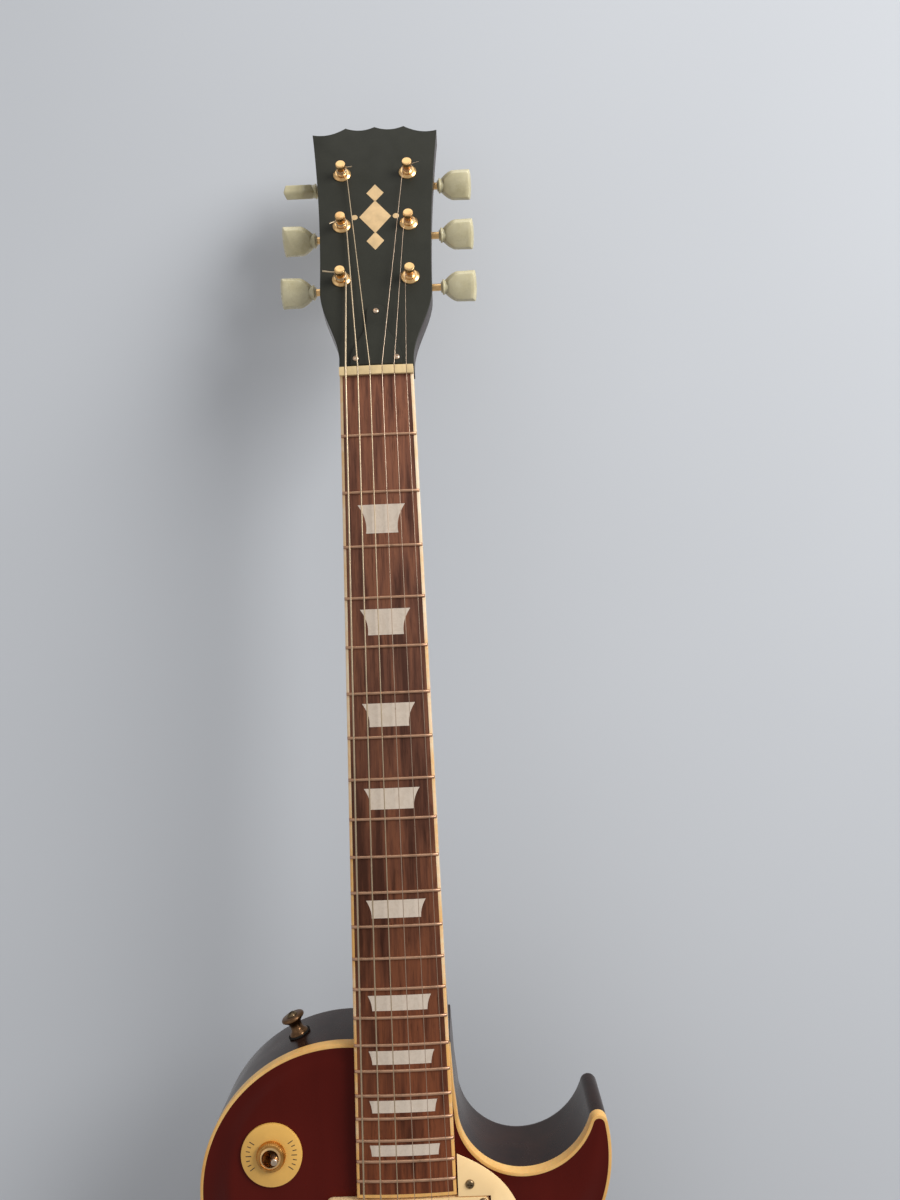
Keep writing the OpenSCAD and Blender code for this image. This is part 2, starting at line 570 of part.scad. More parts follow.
function tube_ring(p, i, r) = let (n = len(p), d = unit(p[min(i + 1, n - 1)] - p[max(i - 1, 0)]),
  e1 = unit(cross(d, front)), e2 = cross(d, e1))
  [for (k = [0 : 5]) p[i] + r * (cos(60 * k) * e1 + sin(60 * k) * e2)];
module tube(p, r) loft([for (i = [0 : len(p) - 1]) tube_ring(p, i, r)], p[0], p[len(p) - 1]);
// Least gap between the turns of one winding
function self_gap(i) = let (w = winding(i), n = len(w))
  min([for (a = [0 : n - 19]) for (b = [a + 18 : n - 1]) norm(w[a] - w[b])]) - 2 * STRING_R[i];
echo(least_winding_gap = min([for (i = [0 : STRINGS - 1]) self_gap(i)]));
module string_with_ball(i) {
  in_neck() tube(string_path(i), STRING_R[i]);
  in_body() translate([bridge_spread * string_frac(i), tail_hole_y, tail_z - 3.4]) cylinder(r = 1.9, h = 2);
}
module wound_strings() color([0.75, 0.55, 0.3]) for (i = [0 : 2]) string_with_ball(i);
module plain_strings() color([0.7, 0.68, 0.65]) for (i = [3 : 5]) string_with_ball(i);

module nut() color([0.92, 0.85, 0.68]) in_neck() difference() {
  intersection() {
    block([-nut_width / 2, -4, 0], [nut_width / 2, board_thick, nut_thick]);
    translate([0, board_radius, -1]) cylinder(r = board_radius + 2.2, h = nut_thick + 2, $fn = 200);
  }
  for (i = [0 : STRINGS - 1]) translate(nut_point(i) - [0, 0, 1]) {
    cylinder(r = STRING_R[i] + fit, h = nut_thick + 2);
    block([-STRING_R[i] - fit, -5, 0], [STRING_R[i] + fit, 0, nut_thick + 2]);
  }
}
function board_shape(inset, end) = [[-board_half(end) + inset, -end], [board_half(end) - inset, -end],
  [board_half(0) - inset, 0], [-board_half(0) + inset, 0]];
module crown_bar() translate([0, board_radius, -board_end - 5])
  cylinder(r = board_radius, h = board_end + 10, $fn = 256);
TANG = [0.6, 2];
// Part of a ring round the crown axis, r from the board face, over the half width w at s
module crown_slice(s, w, p) translate([0, board_radius, -s]) rotate([0, 0, -90 - asin(w / board_radius)])
  rotate_extrude(angle = 2 * asin(w / board_radius), $fn = 200) translate([board_radius, 0]) polygon(p);
tang_shape = [[-TANG[1], -TANG[0] / 2], [0.2, -TANG[0] / 2], [0.2, TANG[0] / 2], [-TANG[1], TANG[0] / 2]];
crown_shape = [for (i = [0 : 10]) let (a = 180 * i / 10 - 90)
  [fret_height * signed_pow(cos(a), 0.7), fret_width / 2 * sin(a)]];
module fretboard() color([0.3, 0.19, 0.14]) in_neck() difference() {
  intersection() {
    plate(board_shape(board_strip, board_end - board_strip), -1, board_thick);
    crown_bar();
  }
  inlay_shapes(-1);
  for (n = [1 : FRETS]) crown_slice(fret_at(n), board_half(fret_at(n)) - board_strip, tang_shape);
}
module board_binding() color([0.93, 0.8, 0.55]) in_neck() intersection() {
  difference() {
    plate(board_shape(0, board_end), -1, board_thick);
    plate(board_shape(board_strip, board_end - board_strip), -2, board_thick + 1);
  }
  crown_bar();
}
module frets() color([0.7, 0.64, 0.58]) in_neck() for (n = [1 : FRETS]) {
  crown_slice(fret_at(n), board_half(fret_at(n)) - 0.1, crown_shape);
  crown_slice(fret_at(n), board_half(fret_at(n)) - board_strip, tang_shape);
}
// Inlay with hollow sides, wider towards the nut
function inlay_outline(n) = let (mid = (fret_at(n - 1) + fret_at(n)) / 2,
  h = inlay_share * (fret_at(n) - fret_at(n - 1)) / 2, w = 2 * board_half(mid),
  a = w * (0.585 + 0.006 * n) / 2, b = w * (0.366 + 0.0147 * n) / 2, sag = 0.45 * (a - b),
  side = [for (i = [0 : 8]) let (k = i / 8)
    [mix(b, a, k) - 4 * sag * k * (1 - k), mix(-mid - h, -mid + h, k)]])
  concat(side, [for (i = [8 : -1 : 0]) [-side[i][0], side[i][1]]]);
module inlay_shapes(y0) for (n = INLAY_FRETS) plate(inlay_outline(n), y0, inlay_depth);
module board_inlays() color([0.82, 0.78, 0.7]) in_neck() intersection() {
  inlay_shapes(-1);
  crown_bar();
}

// Tuners
gear_r = 4.5;
worm_r = worm_offset - gear_r - 0.4;
axle_r = 2.2;
room = [5.7, 5.9, worm_offset + worm_r + 1];
wall = 0.9;
EARS = [-9.6, worm_offset + 7.2];
module at_post(i) in_head() translate([post_at(i)[0], 0, post_at(i)[1]]) children();
module tuner_housings() color([0.83, 0.65, 0.32]) for (i = [0 : STRINGS - 1]) at_post(i) difference() {
  depth = head_thick + key_depth + worm_r + 1.2;
  union() {
    block([-room[0] - wall, head_thick, -room[1] - wall], [room[0] + wall, depth + wall, room[2] + wall]);
    block([-3.4, head_thick, EARS[0]], [3.4, head_thick + 1.2, EARS[1]]);
    for (v = EARS) translate([0, 0, v]) bar(3.4, head_thick, head_thick + 1.2);
  }
  block([-room[0], head_thick - 1, -room[1]], [room[0], depth, room[2]]);
  for (v = EARS) translate([0, 0, v]) bar(1.2, head_thick - 1, head_thick + 3);
  translate([0, head_thick + key_depth, worm_offset]) rotate([0, side_of(i) * 90, 0])
    cylinder(r = axle_r + fit, h = 12);
}
module tuner_bushings() color([0.85, 0.68, 0.34]) for (i = [0 : STRINGS - 1]) at_post(i)
  turned([[post_r + fit, -8], [bush_r, -8], [bush_r, 0], [5.7, 0], [5.7, 0.5], [4.5, 1.5],
    [post_r + fit, 1.6]]);
gear_y = head_thick + key_depth;
module tuner_post(i) color([0.86, 0.69, 0.36]) at_post(i) turned([[0, -gear_y - 2],
  [gear_r, -gear_y - 2], [gear_r, 2 - gear_y], [post_r, 2 - gear_y], [post_r, 1.7],
  [waist_r, 2.2], [waist_r, post_top - 3], [waist_r + 0.7, post_top - 2.2],
  [waist_r + 0.7, post_top - 0.4], [waist_r + 0.3, post_top], [0, post_top]]);
// Button outline along its axis: narrow at the collar, then full to a rounded end
button_side = [for (i = [0 : 9]) let (k = i / 9)
  [button_length * 0.94 * k, mix(4.1, button_half, 0.93 * (1 - pow(1 - min(1, k / 0.42), 1.6)) + 0.07 * k)]];
button_points = concat(
  [for (p = button_side) [p[0], -p[1]]],
  [for (i = [1 : 5]) let (a = -90 + 30 * i) [button_length * (0.94 + 0.06 * cos(a)), button_half * sin(a)]],
  [for (i = [9 : -1 : 0]) button_side[i]]);
button_mid = button_length * 0.55;
function button_ring(y, k) = [for (p = button_points) [button_mid + (p[0] - button_mid) * k, y, p[1] * k]];
// Turn at which each key was left, the bass string first
KEY_TURN = [-36, -51, 45, 46, 47, 42];
module tuner_key(i) color([0.68, 0.66, 0.53]) at_post(i) translate([0, gear_y, worm_offset])
  rotate([KEY_TURN[i], 0, side_of(i) > 0 ? 0 : 180]) {
    rotate([0, 90, 0]) {
      translate([0, 0, 0.4 - room[0]]) cylinder(r = worm_r, h = 2 * room[0] - 0.8);
      cylinder(r = axle_r, h = button_start + 2);
      translate([0, 0, button_start - 2.6]) cylinder(r = 3.4, h = 2.6);
      translate([0, 0, button_start - 1.7]) cylinder(r = 4.7, h = 1.4);
    }
    translate([button_start, 0, 0]) {
      h = button_thick / 2;
      loft([button_ring(h, 0.82), button_ring(0.6, 1), button_ring(-0.6, 1), button_ring(-h, 0.82)],
        [button_mid, h, 0], [button_mid, -h, 0]);
    }
  }
module tuner_key_1() tuner_key(5);
module tuner_key_2() tuner_key(4);
module tuner_key_3() tuner_key(3);
module tuner_key_4() tuner_key(2);
module tuner_key_5() tuner_key(1);
module tuner_key_6() tuner_key(0);
module tuner_post_1() tuner_post(5);
module tuner_post_2() tuner_post(4);
module tuner_post_3() tuner_post(3);
module tuner_post_4() tuner_post(2);
module tuner_post_5() tuner_post(1);
module tuner_post_6() tuner_post(0);

// Pickups: each frame has its depth zero on the seat of the ring
function string_face(s) = mix(nut_action, bridge_action, s / scale_length);
neck_cover_top = -board_thick - string_face(neck_pickup_s) + string_gap;
bridge_cover_top = -bridge_base[1] - string_face(bridge_pickup_s) + string_gap;
bridge_ring_height = -bridge_cover_top - 2.2;
open_length = cover_length + 2 * ring_gap;
open_width = cover_width + 2 * ring_gap;
RING_SCREW = [3.4, 2.9];
ring_screw_p = [for (k = [-1, 1]) for (m = [-1, 1])
  [k * (ring_length / 2 - RING_SCREW[0]), m * (ring_width / 2 - RING_SCREW[1])]];
height_screw_x = (open_length + ring_length) / 4;
module ring_shape(height) difference() {
  plate(round_box(ring_length, ring_width, 4), -height, 0);
  plate(round_box(open_length, open_width, 3), -height - 1, 1);
  for (p = ring_screw_p) translate([p[0], 0, p[1]]) bar(screw_r, -height - 1, 1);
  for (k = [-1, 1]) translate([k * height_screw_x, 0, 0]) bar(screw_r, -height - 1, 1);
}
module neck_ring() color([0.92, 0.83, 0.62]) at_neck_pickup() ring_shape(ring_height);
wedge = 14;
module bridge_ring() color([0.92, 0.83, 0.62]) difference() {
  at_bridge_pickup() difference() {
    plate(round_box(ring_length, ring_width, 4), -bridge_ring_height, wedge);
    plate(round_box(open_length, open_width, 3), -30, wedge + 1);
    for (p = ring_screw_p) translate([p[0], 0, p[1]]) bar(screw_r, -30, wedge + 1);
    for (k = [-1, 1]) translate([k * height_screw_x, 0, 0]) bar(screw_r, -30, wedge + 1);
  }
  in_body() block([-80, -carve_rise, -bridge_pickup_at - 60], [80, 60, 60 - bridge_pickup_at]);
}
POLE_R = 2.3;
function pole_x(i) = mix(nut_spread, bridge_spread, 0.85) * string_frac(i);
pole_row = cover_width / 4;
module cover_shape(top, row) difference() {
  plate(round_box(cover_length, cover_width, 3), top, top + cover_height);
  plate(round_box(cover_length - 2 * cover_wall, cover_width - 2 * cover_wall, 2.2),
    top + cover_wall, top + cover_height + 1);
  for (i = [0 : STRINGS - 1]) translate([pole_x(i), 0, row]) bar(POLE_R + fit, top - 1, top + 2);
}
// Two bobbins on a base plate whose legs take the height screws
module coil_shape(top, row) {
  base = top + cover_height;
  l = cover_length - 2 * cover_wall - 0.6;
  w = (cover_width - 2 * cover_wall - 1.2) / 2;
  for (k = [-1, 1]) translate([0, 0, k * (w / 2 + 0.3)])
    plate(round_box(l, w, 2), top + cover_wall + 0.2, base);
  difference() {
    union() {
      plate(round_box(cover_length - 2 * cover_wall - 0.6, cover_width - 2 * cover_wall - 0.6, 2),
        base, base + 1.2);
      block([-leg_length / 2, base, -5], [leg_length / 2, base + 1.2, 5]);
    }
    for (k = [-1, 1]) translate([k * height_screw_x, 0, 0]) bar(screw_r + 0.3, base - 1, base + 3);
  }
  for (i = [0 : STRINGS - 1]) translate([pole_x(i), 0, row]) bar(POLE_R, top - 0.35, top + cover_wall + 1);
}
module neck_pickup_cover() color([0.85, 0.68, 0.34]) at_neck_pickup()
  cover_shape(neck_cover_top, pole_row);
module neck_pickup_coils() color([0.2, 0.18, 0.16]) at_neck_pickup()
  coil_shape(neck_cover_top, pole_row);
module bridge_pickup_cover() color([0.85, 0.68, 0.34]) at_bridge_pickup()
  cover_shape(bridge_cover_top, -pole_row);
module bridge_pickup_coils() color([0.2, 0.18, 0.16]) at_bridge_pickup()
  coil_shape(bridge_cover_top, -pole_row);

// Pickguard beside the fretboard, cut round both rings
guard_gap = 0.8;
guard_top_at = 56;
guard_mid_at = 135;
guard_top_s = along(guard_top_at);
ring_edge = ring_length / 2 + guard_gap;
function ring_span(s, m) = -s + m * (ring_width / 2 + guard_gap);
guard_inner_x = board_half(board_end) + guard_gap;
guard_low = ring_span(-bridge_base[2], -1) - 5;
guard_mid = -along(guard_mid_at);
function guard_curve(k) = let (z = mix(guard_low, -guard_top_s, k))
  [z > guard_mid ? mix(guard_reach, guard_inner_x, pow((z - guard_mid) / (-guard_top_s - guard_mid), 2.36))
    : mix(guard_reach, ring_edge + 4, pow((guard_mid - z) / (guard_mid - guard_low), 2.5)), z];
guard_points = concat(
  [[ring_edge, guard_low]],
  [for (i = [0 : 24]) guard_curve(i / 24)],
  [[guard_inner_x, -board_end - guard_gap + 1], [guard_inner_x, ring_span(neck_pickup_s, 1)],
   [ring_edge, ring_span(neck_pickup_s, 1)], [ring_edge, ring_span(neck_pickup_s, -1)],
   [guard_inner_x + 6, ring_span(neck_pickup_s, -1)], [guard_inner_x + 6, ring_span(-bridge_base[2], 1)],
   [ring_edge, ring_span(-bridge_base[2], 1)]]);
GUARD_SCREW = [35, 76.5];
guard_screw = [GUARD_SCREW[0], -along(GUARD_SCREW[1])];
module pickguard() color([0.93, 0.85, 0.66]) difference() {
  in_neck() plate(guard_points, guard_drop, guard_drop + guard_thick);
  trim_screw_holes();
}
bracket_z = waist_t[1];
bracket_x = waist_t[0] - waist_treble_r;
bracket_top = -neck_to_body([0, guard_drop + guard_thick, -along(-bracket_z)])[1] - 0.3;
module guard_bracket() color([0.85, 0.68, 0.34]) difference() {
  in_body() union() {
    block([bracket_x + 0.2, -bracket_top, bracket_z - 4], [bracket_x + 1.8, 14, bracket_z + 4]);
    block([guard_reach - 14, -bracket_top, bracket_z - 4],
      [bracket_x + 1.8, 1.6 - bracket_top, bracket_z + 4]);
  }
  trim_screw_holes();
}

// Bridge and tailpiece
string_y = [for (i = [0 : STRINGS - 1]) neck_to_body(saddle_point(i))[1] + STRING_R[i]];
bar_top = max(string_y) + 2.6;
bar_low = bar_top + 8;
trough = bridge_width / 2 - 2.2;
SADDLE_W = 8.4;
module bridge() color([0.85, 0.68, 0.34]) at_bridge() difference() {
  plate(round_box(bridge_post_span + 18, bridge_width, bridge_width / 2 - 0.6, 8), bar_top, bar_low);
  block([-bridge_spread / 2 - 5.5, bar_top - 1, -trough], [bridge_spread / 2 + 5.5, bar_low - 2, trough]);
  for (k = [-1, 1]) translate([k * bridge_post_span / 2, 0, 0])
    bar(post_hole_r + fit, bar_low - 6, bar_low + 1);
  for (i = [0 : STRINGS - 1]) translate([bridge_spread * string_frac(i), bar_top + 3.4, 0])
    cylinder(r = 1.25, h = bridge_width);
}
module saddles() color([0.8, 0.62, 0.3]) at_bridge() for (i = [0 : STRINGS - 1])
  translate([bridge_spread * string_frac(i) - SADDLE_W / 2, 0, 0]) {
    t = string_y[i] + fit;
    rotate([90, 0, 90]) linear_extrude(SADDLE_W)
      polygon([[t, 0.3], [t + 3.4, trough - 0.2], [bar_low - 2.1, trough - 0.2],
        [bar_low - 2.1, 0.2 - trough],
        [t + 3.4, 0.2 - trough], [t, -0.3]]);
    translate([SADDLE_W / 2, bar_top + 3.4, 0]) cylinder(r = 1.2, h = bridge_width / 2 + 0.4);
    translate([SADDLE_W / 2, bar_top + 3.4, bridge_width / 2 + 0.1]) cylinder(r = 2, h = 1.2);
  }
module bridge_posts() color([0.85, 0.68, 0.34]) at_bridge() for (k = [-1, 1])
  translate([k * bridge_post_span / 2, 0, 0]) {
    bar(post_hole_r, bar_low - 5.5, stud_sink);
    bar(8, bar_low, bar_low + 2.2);
  }
tail_top = tail_hole_y - 4.2;
tail_low = tail_hole_y + 5.6;
ear_top = tail_hole_y - 1.5;
tail_section = concat([[tail_low, -tail_half + 1], [tail_low, tail_half - 1], [tail_low - 2, tail_half]],
  [for (i = [0 : 10]) let (a = 18 * i) [tail_hole_y + 0.2 - 4.4 * sin(a), tail_half * cos(a)]],
  [[tail_low - 2, -tail_half]]);
module tailpiece() color([0.85, 0.68, 0.34]) in_body() translate([0, 0, tail_z]) difference() {
  union() {
    translate([-tail_stud_span / 2 + 9.5, 0, 0]) rotate([90, 0, 90])
      linear_extrude(tail_stud_span - 19) polygon(tail_section);
    for (k = [-1, 1]) {
      translate([k * tail_stud_span / 2, 0, 0]) bar(8.4, ear_top, tail_low);
      translate([k * (tail_stud_span / 2 - 6), 0, 0])
        block([-4, ear_top, -tail_half], [4, tail_low, tail_half]);
    }
  }
  for (k = [-1, 1]) translate([k * tail_stud_span / 2, 0, 0]) {
    bar(stud_r + fit, -60, 0);
    block([-stud_r - fit, -60, 0], [stud_r + fit, 0, 20]);
  }
  for (i = [0 : STRINGS - 1]) translate([bridge_spread * string_frac(i), tail_hole_y, -20]) {
    cylinder(r = 1.2, h = 40);
    cylinder(r = 2.2, h = 19);
  }
}
module tail_studs() color([0.86, 0.7, 0.38]) in_body() for (k = [-1, 1])
  translate([k * tail_stud_span / 2, 0, tail_z]) {
    bar(stud_r, ear_top - 2.6, stud_sink);
    bar(8, tail_low + fit, tail_low + 2);
    bar(8, ear_top - 2.6, ear_top - fit);
  }

// Selector switch: its frame has depth zero on the top
plate_thick = 1.6;
nut_height = 3.4;
pivot = 6;
module switch_plate() color([0.85, 0.67, 0.33]) at_switch() difference() {
  bar(plate_d / 2, -plate_thick, 0);
  bar(sleeve_r + fit, -9, 9);
}
module switch_nut() color([0.86, 0.69, 0.36]) at_switch() turned([[sleeve_r + fit, plate_thick],
  [8.2, plate_thick], [8.2, plate_thick + 2], [7, plate_thick + nut_height],
  [sleeve_r + fit, plate_thick + nut_height]]);
pin_r = 1.2;
module switch_body() color([0.6, 0.58, 0.52]) at_switch() difference() {
  union() {
    turned([[0, -13], [sleeve_r, -13], [sleeve_r, plate_thick + nut_height - 0.4],
      [sleeve_r - 1.2, plate_thick + nut_height], [sleeve_r - 1.6, -10.5], [0, -10.5]]);
    block([-10, 13, -7], [10, 32, 7]);
  }
  translate([0, pivot, 0]) cylinder(r = pin_r + fit, h = 3 * sleeve_r, center = true);
}
// Bare lever that tilts on a pin across the sleeve, left at its treble stop
LEVER_TURN = 12;
module toggle_lever() color([0.88, 0.72, 0.4]) at_switch() translate([0, pivot, 0])
  rotate([0, 0, LEVER_TURN]) {
    turned([[0, -3.2], [1.8, -2.9], [2.6, -1.9], [2.6, 1.9], [1.6, 3.2], [1.6, pivot + 8.6],
      [1.2, pivot + 9.4], [0, pivot + 9.6]]);
    cylinder(r = pin_r, h = 2 * sleeve_r - 0.6, center = true);
  }

// Knobs and the controls under them
function knob_seat(p) = max(top_at(p), top_at(p + unit(carve_c - p) * knob_r), top_at(p + [0, knob_r]),
  top_at(p - [0, knob_r]), top_at(p - [knob_r, 0])) + 1;
can_r = 11;
can_depth = 9;
sleeve = 4.8;
module pots() color([0.6, 0.58, 0.55]) in_body() for (p = knob_p) translate([p[0], 0, p[1]]) {
  h = top_at(p);
  difference() {
    union() {
      bar(can_r, cavity_floor, cavity_floor + can_depth);
      bar(sleeve, -h - 4, cavity_floor + 1);
      translate([0, -knob_seat(p) + 1, 0]) rotate([90, 0, 0]) cylinder(r = 6.4, h = 2, $fn = 6);
    }
    bar(shaft_r + fit, -40, cavity_floor + can_depth - 1.4);
  }
}
function shaft_foot(p) = 2.4 - knob_seat(p) - cavity_floor - can_depth;
module knob(p) color([0.85, 0.62, 0.22]) in_body() translate([p[0], -knob_seat(p), p[1]])
  turned([[0, shaft_foot(p)], [shaft_r, shaft_foot(p)], [shaft_r, 8.4], [7.2, 8.4], [knob_r - 2, 0],
    [knob_r, 0], [knob_r, 1.2], [knob_r - 2.3, 3.8], [8.9, 8],
    [8.3, knob_height - 0.9], [7.5, knob_height], [0, knob_height]]);
module knob_neck_volume() knob(knob_p[0]);
module knob_bridge_volume() knob(knob_p[1]);
module knob_neck_tone() knob(knob_p[2]);
module knob_bridge_tone() knob(knob_p[3]);

// Output socket on the rim, with a plate bent to the rim
JACK_PLATE = 17;
JACK_SCREW = 13.4;
plate_depth = 2;
module jack_plate() color([0.85, 0.68, 0.34]) difference() {
  at_jack() intersection() {
    difference() {
      bar(lower_r + plate_depth, -JACK_PLATE, JACK_PLATE);
      bar(lower_r, -JACK_PLATE - 1, JACK_PLATE + 1);
    }
    block([lower_r - 10, -JACK_PLATE, -JACK_PLATE], [lower_r + 10, JACK_PLATE, JACK_PLATE]);
  }
  at_jack() translate([lower_r - 5, 0, 0]) rotate([0, 90, 0]) cylinder(r = jack_barrel_r + fit, h = 20);
  trim_screw_holes();
}
module jack_socket() color([0.8, 0.75, 0.62]) at_jack() translate([lower_r, 0, 0]) rotate([0, 90, 0])
difference() {
  union() {
    translate([0, 0, -10]) cylinder(r = jack_barrel_r, h = 16);
    translate([0, 0, -12]) cylinder(r = 8.6, h = 2);
    translate([0, 0, plate_depth + fit]) cylinder(r = 7, h = 2.4, $fn = 6);
    translate([4.6, -2, -34]) cube([1, 4, 23]);
    translate([-5.6, -2, -30]) cube([1, 4, 19]);
  }
  translate([0, 0, -20]) cylinder(r = jack_r, h = 40);
}
STRAP_TALL = 12;
module strap_buttons() color([0.85, 0.68, 0.34]) for (upper = [true, false]) at_strap(upper) difference() {
  rotate_extrude() polygon([[0, 0], [5.6, 0], [5.4, 1.6], [3.6, 3.6], [3.4, STRAP_TALL - 5.4],
    [5, STRAP_TALL - 3.2], [6.8, STRAP_TALL - 1.9], [6.8, STRAP_TALL - 0.8], [5.8, STRAP_TALL],
    [0, STRAP_TALL]]);
  translate([0, 0, -1]) cylinder(r = screw_r, h = 30);
}

// Wood screws: places shared by the screws and their holes
module screw(r, head, length) {
  turned([[0, -length], [r, 1 - length], [r, 0], [head, 0], [head * 0.85, head * 0.35], [0, head * 0.55]]);
}
module trim_places() {
  in_head() for (p = TRUSS_SCREWS) translate([p[0], -2, p[1]]) children(0);
  for (i = [0 : STRINGS - 1]) for (v = EARS) at_post(i) translate([0, head_thick + 1.2, v])
    rotate([180, 0, 0]) children(0);
  at_neck_pickup() for (p = ring_screw_p) translate([p[0], -ring_height, p[1]]) children(1);
  at_bridge_pickup() for (p = ring_screw_p) translate([p[0], -bridge_ring_height, p[1]]) children(2);
  in_neck() translate([guard_screw[0], guard_drop, guard_screw[1]]) children(1);
  at_jack() for (k = [-1, 1]) for (m = [-1, 1]) rotate([0, k * asin(JACK_SCREW / lower_r), 0])
    translate([lower_r + plate_depth, m * JACK_SCREW, 0]) rotate([0, 0, 90]) children(0);
  for (upper = [true, false]) at_strap(upper) translate([0, 0, STRAP_TALL]) rotate([-90, 0, 0]) children(3);
  in_body() translate([bracket_x + 1.8, 9, bracket_z]) rotate([0, 0, 90]) children(0);
}
module trim_screws() color([0.84, 0.66, 0.32]) {
  trim_places() {
    screw(1.2, 2.1, 9);
    screw(screw_r, 2.5, 16);
    screw(screw_r, 2.5, 26);
    screw(screw_r, 3.2, 30);
  }
  height_screws();
}
module height_screws() {
  at_neck_pickup() for (k = [-1, 1]) translate([k * height_screw_x, -ring_height, 0])
    screw(screw_r, 2.4, 24);
  at_bridge_pickup() for (k = [-1, 1]) translate([k * height_screw_x, -bridge_ring_height, 0])
    screw(screw_r, 2.4, 26);
}
module trim_screw_holes() trim_places() {
  bar(1.2, -0.5, 9.2);
  bar(screw_r, -0.5, 16.2);
  bar(screw_r, -0.5, 26.2);
  bar(screw_r, -0.5, 30.2);
}
module cover_places() in_body() for (p = concat(control_screw_p, switch_screw_p))
  translate([p[0], body_thick - 0.1, p[1]]) rotate([180, 0, 0]) children();
module cover_screws() color([0.8, 0.7, 0.5]) cover_places()
  turned([[0, -11], [1.2, -10], [1.2, -2.1], [2.2, -1.2], [2.2, 0], [0, 0]]);
module cover_screw_holes() cover_places() {
  bar(1.2, -3, 11.2);
  turned([[0, -2.1], [1.2, -2.1], [2.2, -1.2], [2.2, 1], [0, 1]]);
}

body_back();
body_top();
body_binding();
control_cover();
switch_cover();
neck();
head_veneer();
head_inlay();
truss_rod();
truss_cover();
nut();
fretboard();
board_binding();
frets();
board_inlays();
tuner_housings();
tuner_bushings();
wound_strings();
plain_strings();
neck_ring();
bridge_ring();
pickguard();
guard_bracket();
bridge();
saddles();
bridge_posts();
tailpiece();
tail_studs();
switch_plate();
switch_body();
switch_nut();
pots();
jack_plate();
jack_socket();
strap_buttons();
trim_screws();
cover_screws();
tuner_key_1();
tuner_key_2();
tuner_key_3();
tuner_key_4();
tuner_key_5();
tuner_key_6();
tuner_post_1();
tuner_post_2();
tuner_post_3();
tuner_post_4();
tuner_post_5();
tuner_post_6();
knob_neck_volume();
knob_bridge_volume();
knob_neck_tone();
knob_bridge_tone();
toggle_lever();
neck_pickup_cover();
neck_pickup_coils();
bridge_pickup_cover();
bridge_pickup_coils();
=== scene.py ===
"""Looks of a carved-top electric guitar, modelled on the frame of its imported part.

Shapes are drawn in millimetres in the frame of the neck, the head or the body, and settled in metres.
"""

import math
from types import SimpleNamespace

import bmesh
import bpy
from mathutils import Matrix, Vector, kdtree


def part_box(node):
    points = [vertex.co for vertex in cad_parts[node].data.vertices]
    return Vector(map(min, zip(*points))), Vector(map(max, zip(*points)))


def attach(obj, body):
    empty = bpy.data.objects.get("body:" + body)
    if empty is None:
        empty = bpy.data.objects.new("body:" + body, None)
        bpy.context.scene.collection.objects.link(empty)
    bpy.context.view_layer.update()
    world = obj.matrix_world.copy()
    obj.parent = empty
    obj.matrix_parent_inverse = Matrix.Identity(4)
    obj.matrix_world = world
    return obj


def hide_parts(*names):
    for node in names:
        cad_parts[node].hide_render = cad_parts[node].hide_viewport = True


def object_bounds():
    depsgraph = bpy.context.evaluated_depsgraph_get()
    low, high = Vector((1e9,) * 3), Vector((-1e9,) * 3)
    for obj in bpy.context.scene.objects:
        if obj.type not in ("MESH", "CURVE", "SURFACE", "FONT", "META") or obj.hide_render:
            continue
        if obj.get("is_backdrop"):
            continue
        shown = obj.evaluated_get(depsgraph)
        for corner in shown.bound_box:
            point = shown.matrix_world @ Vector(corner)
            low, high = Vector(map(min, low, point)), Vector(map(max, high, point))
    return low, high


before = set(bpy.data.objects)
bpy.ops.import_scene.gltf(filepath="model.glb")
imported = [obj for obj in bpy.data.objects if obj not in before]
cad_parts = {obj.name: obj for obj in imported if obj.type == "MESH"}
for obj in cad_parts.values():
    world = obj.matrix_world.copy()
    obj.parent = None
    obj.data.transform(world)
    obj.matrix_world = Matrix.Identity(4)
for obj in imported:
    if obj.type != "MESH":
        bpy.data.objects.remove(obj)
CAD_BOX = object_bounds()

bl_info = {
    "name": "Carved-top electric guitar",
    "version": (1, 0, 0),
    "blender": (4, 5, 0),
    "location": "View3D > Sidebar > Guitar",
    "description": "Models and finishes the pieces of a carved-top electric guitar",
    "category": "Add Mesh",
}

MM = 0.001
STRINGS = 6
BASS = 3  # strings on the bass side of the head, which are the wound ones
FRETS = 22
JOIN_FRET = 16  # fret at which the neck meets the body
INLAY_FRETS = (3, 5, 7, 9, 12, 15, 17, 19, 21)
STRING_R = (0.52, 0.41, 0.3, 0.2, 0.16, 0.13)
KEY_TURN = (-36, -51, 45, 46, 47, 42)  # degrees at rest
PREFIX = "guitar_"  # keeps these materials apart from those of the frame

# Places of the strings and fittings, in millimetres and degrees

NUT_SPREAD, BRIDGE_SPREAD = 35.2, 50.4  # between the outer strings
NUT_ACTION, BRIDGE_ACTION = 1.6, 4.5  # from the crown of the board to a string
POST_X, POST_FIRST, POST_PITCH = 21, 64.6, 41.2
HEAD_FLARE = 56  # height at which the flare from the nut into the head ends
RIM_DROP = 1  # of the body's rim behind the underside of the board at the joint
BOARD_GAP, NECK_GAP = 0.9, 0.3  # from the edge of the board and neck to that of the body
CARVE_CENTRE = (22, -330)
NECK_PICKUP, BRIDGE_PICKUP = 106.6, 203.6  # below the joint
BRIDGE_SETBACK, BRIDGE_SLANT = 1.5, 3
TAIL_GAP = 43  # from the bridge to the tailpiece
SWITCH_AT = (-75, -59.4)
GUARD_DROP = 1  # of the pickguard's face behind that of the fretboard
KNOB_FIRST = (87, 175)  # from the side and the bottom of the lower bout
KNOB_ROW, KNOB_STEP = (8, 64), (46, -38)
CAVITY_R, COVER_R, COVER_THICK, COVER_GAP = 21, 26, 2.4, 0.15
CONTROL_SCREW_R, SWITCH_SCREW_R = 23, 23.2
JACK_TURN, STRAP_TURN = 38, -110


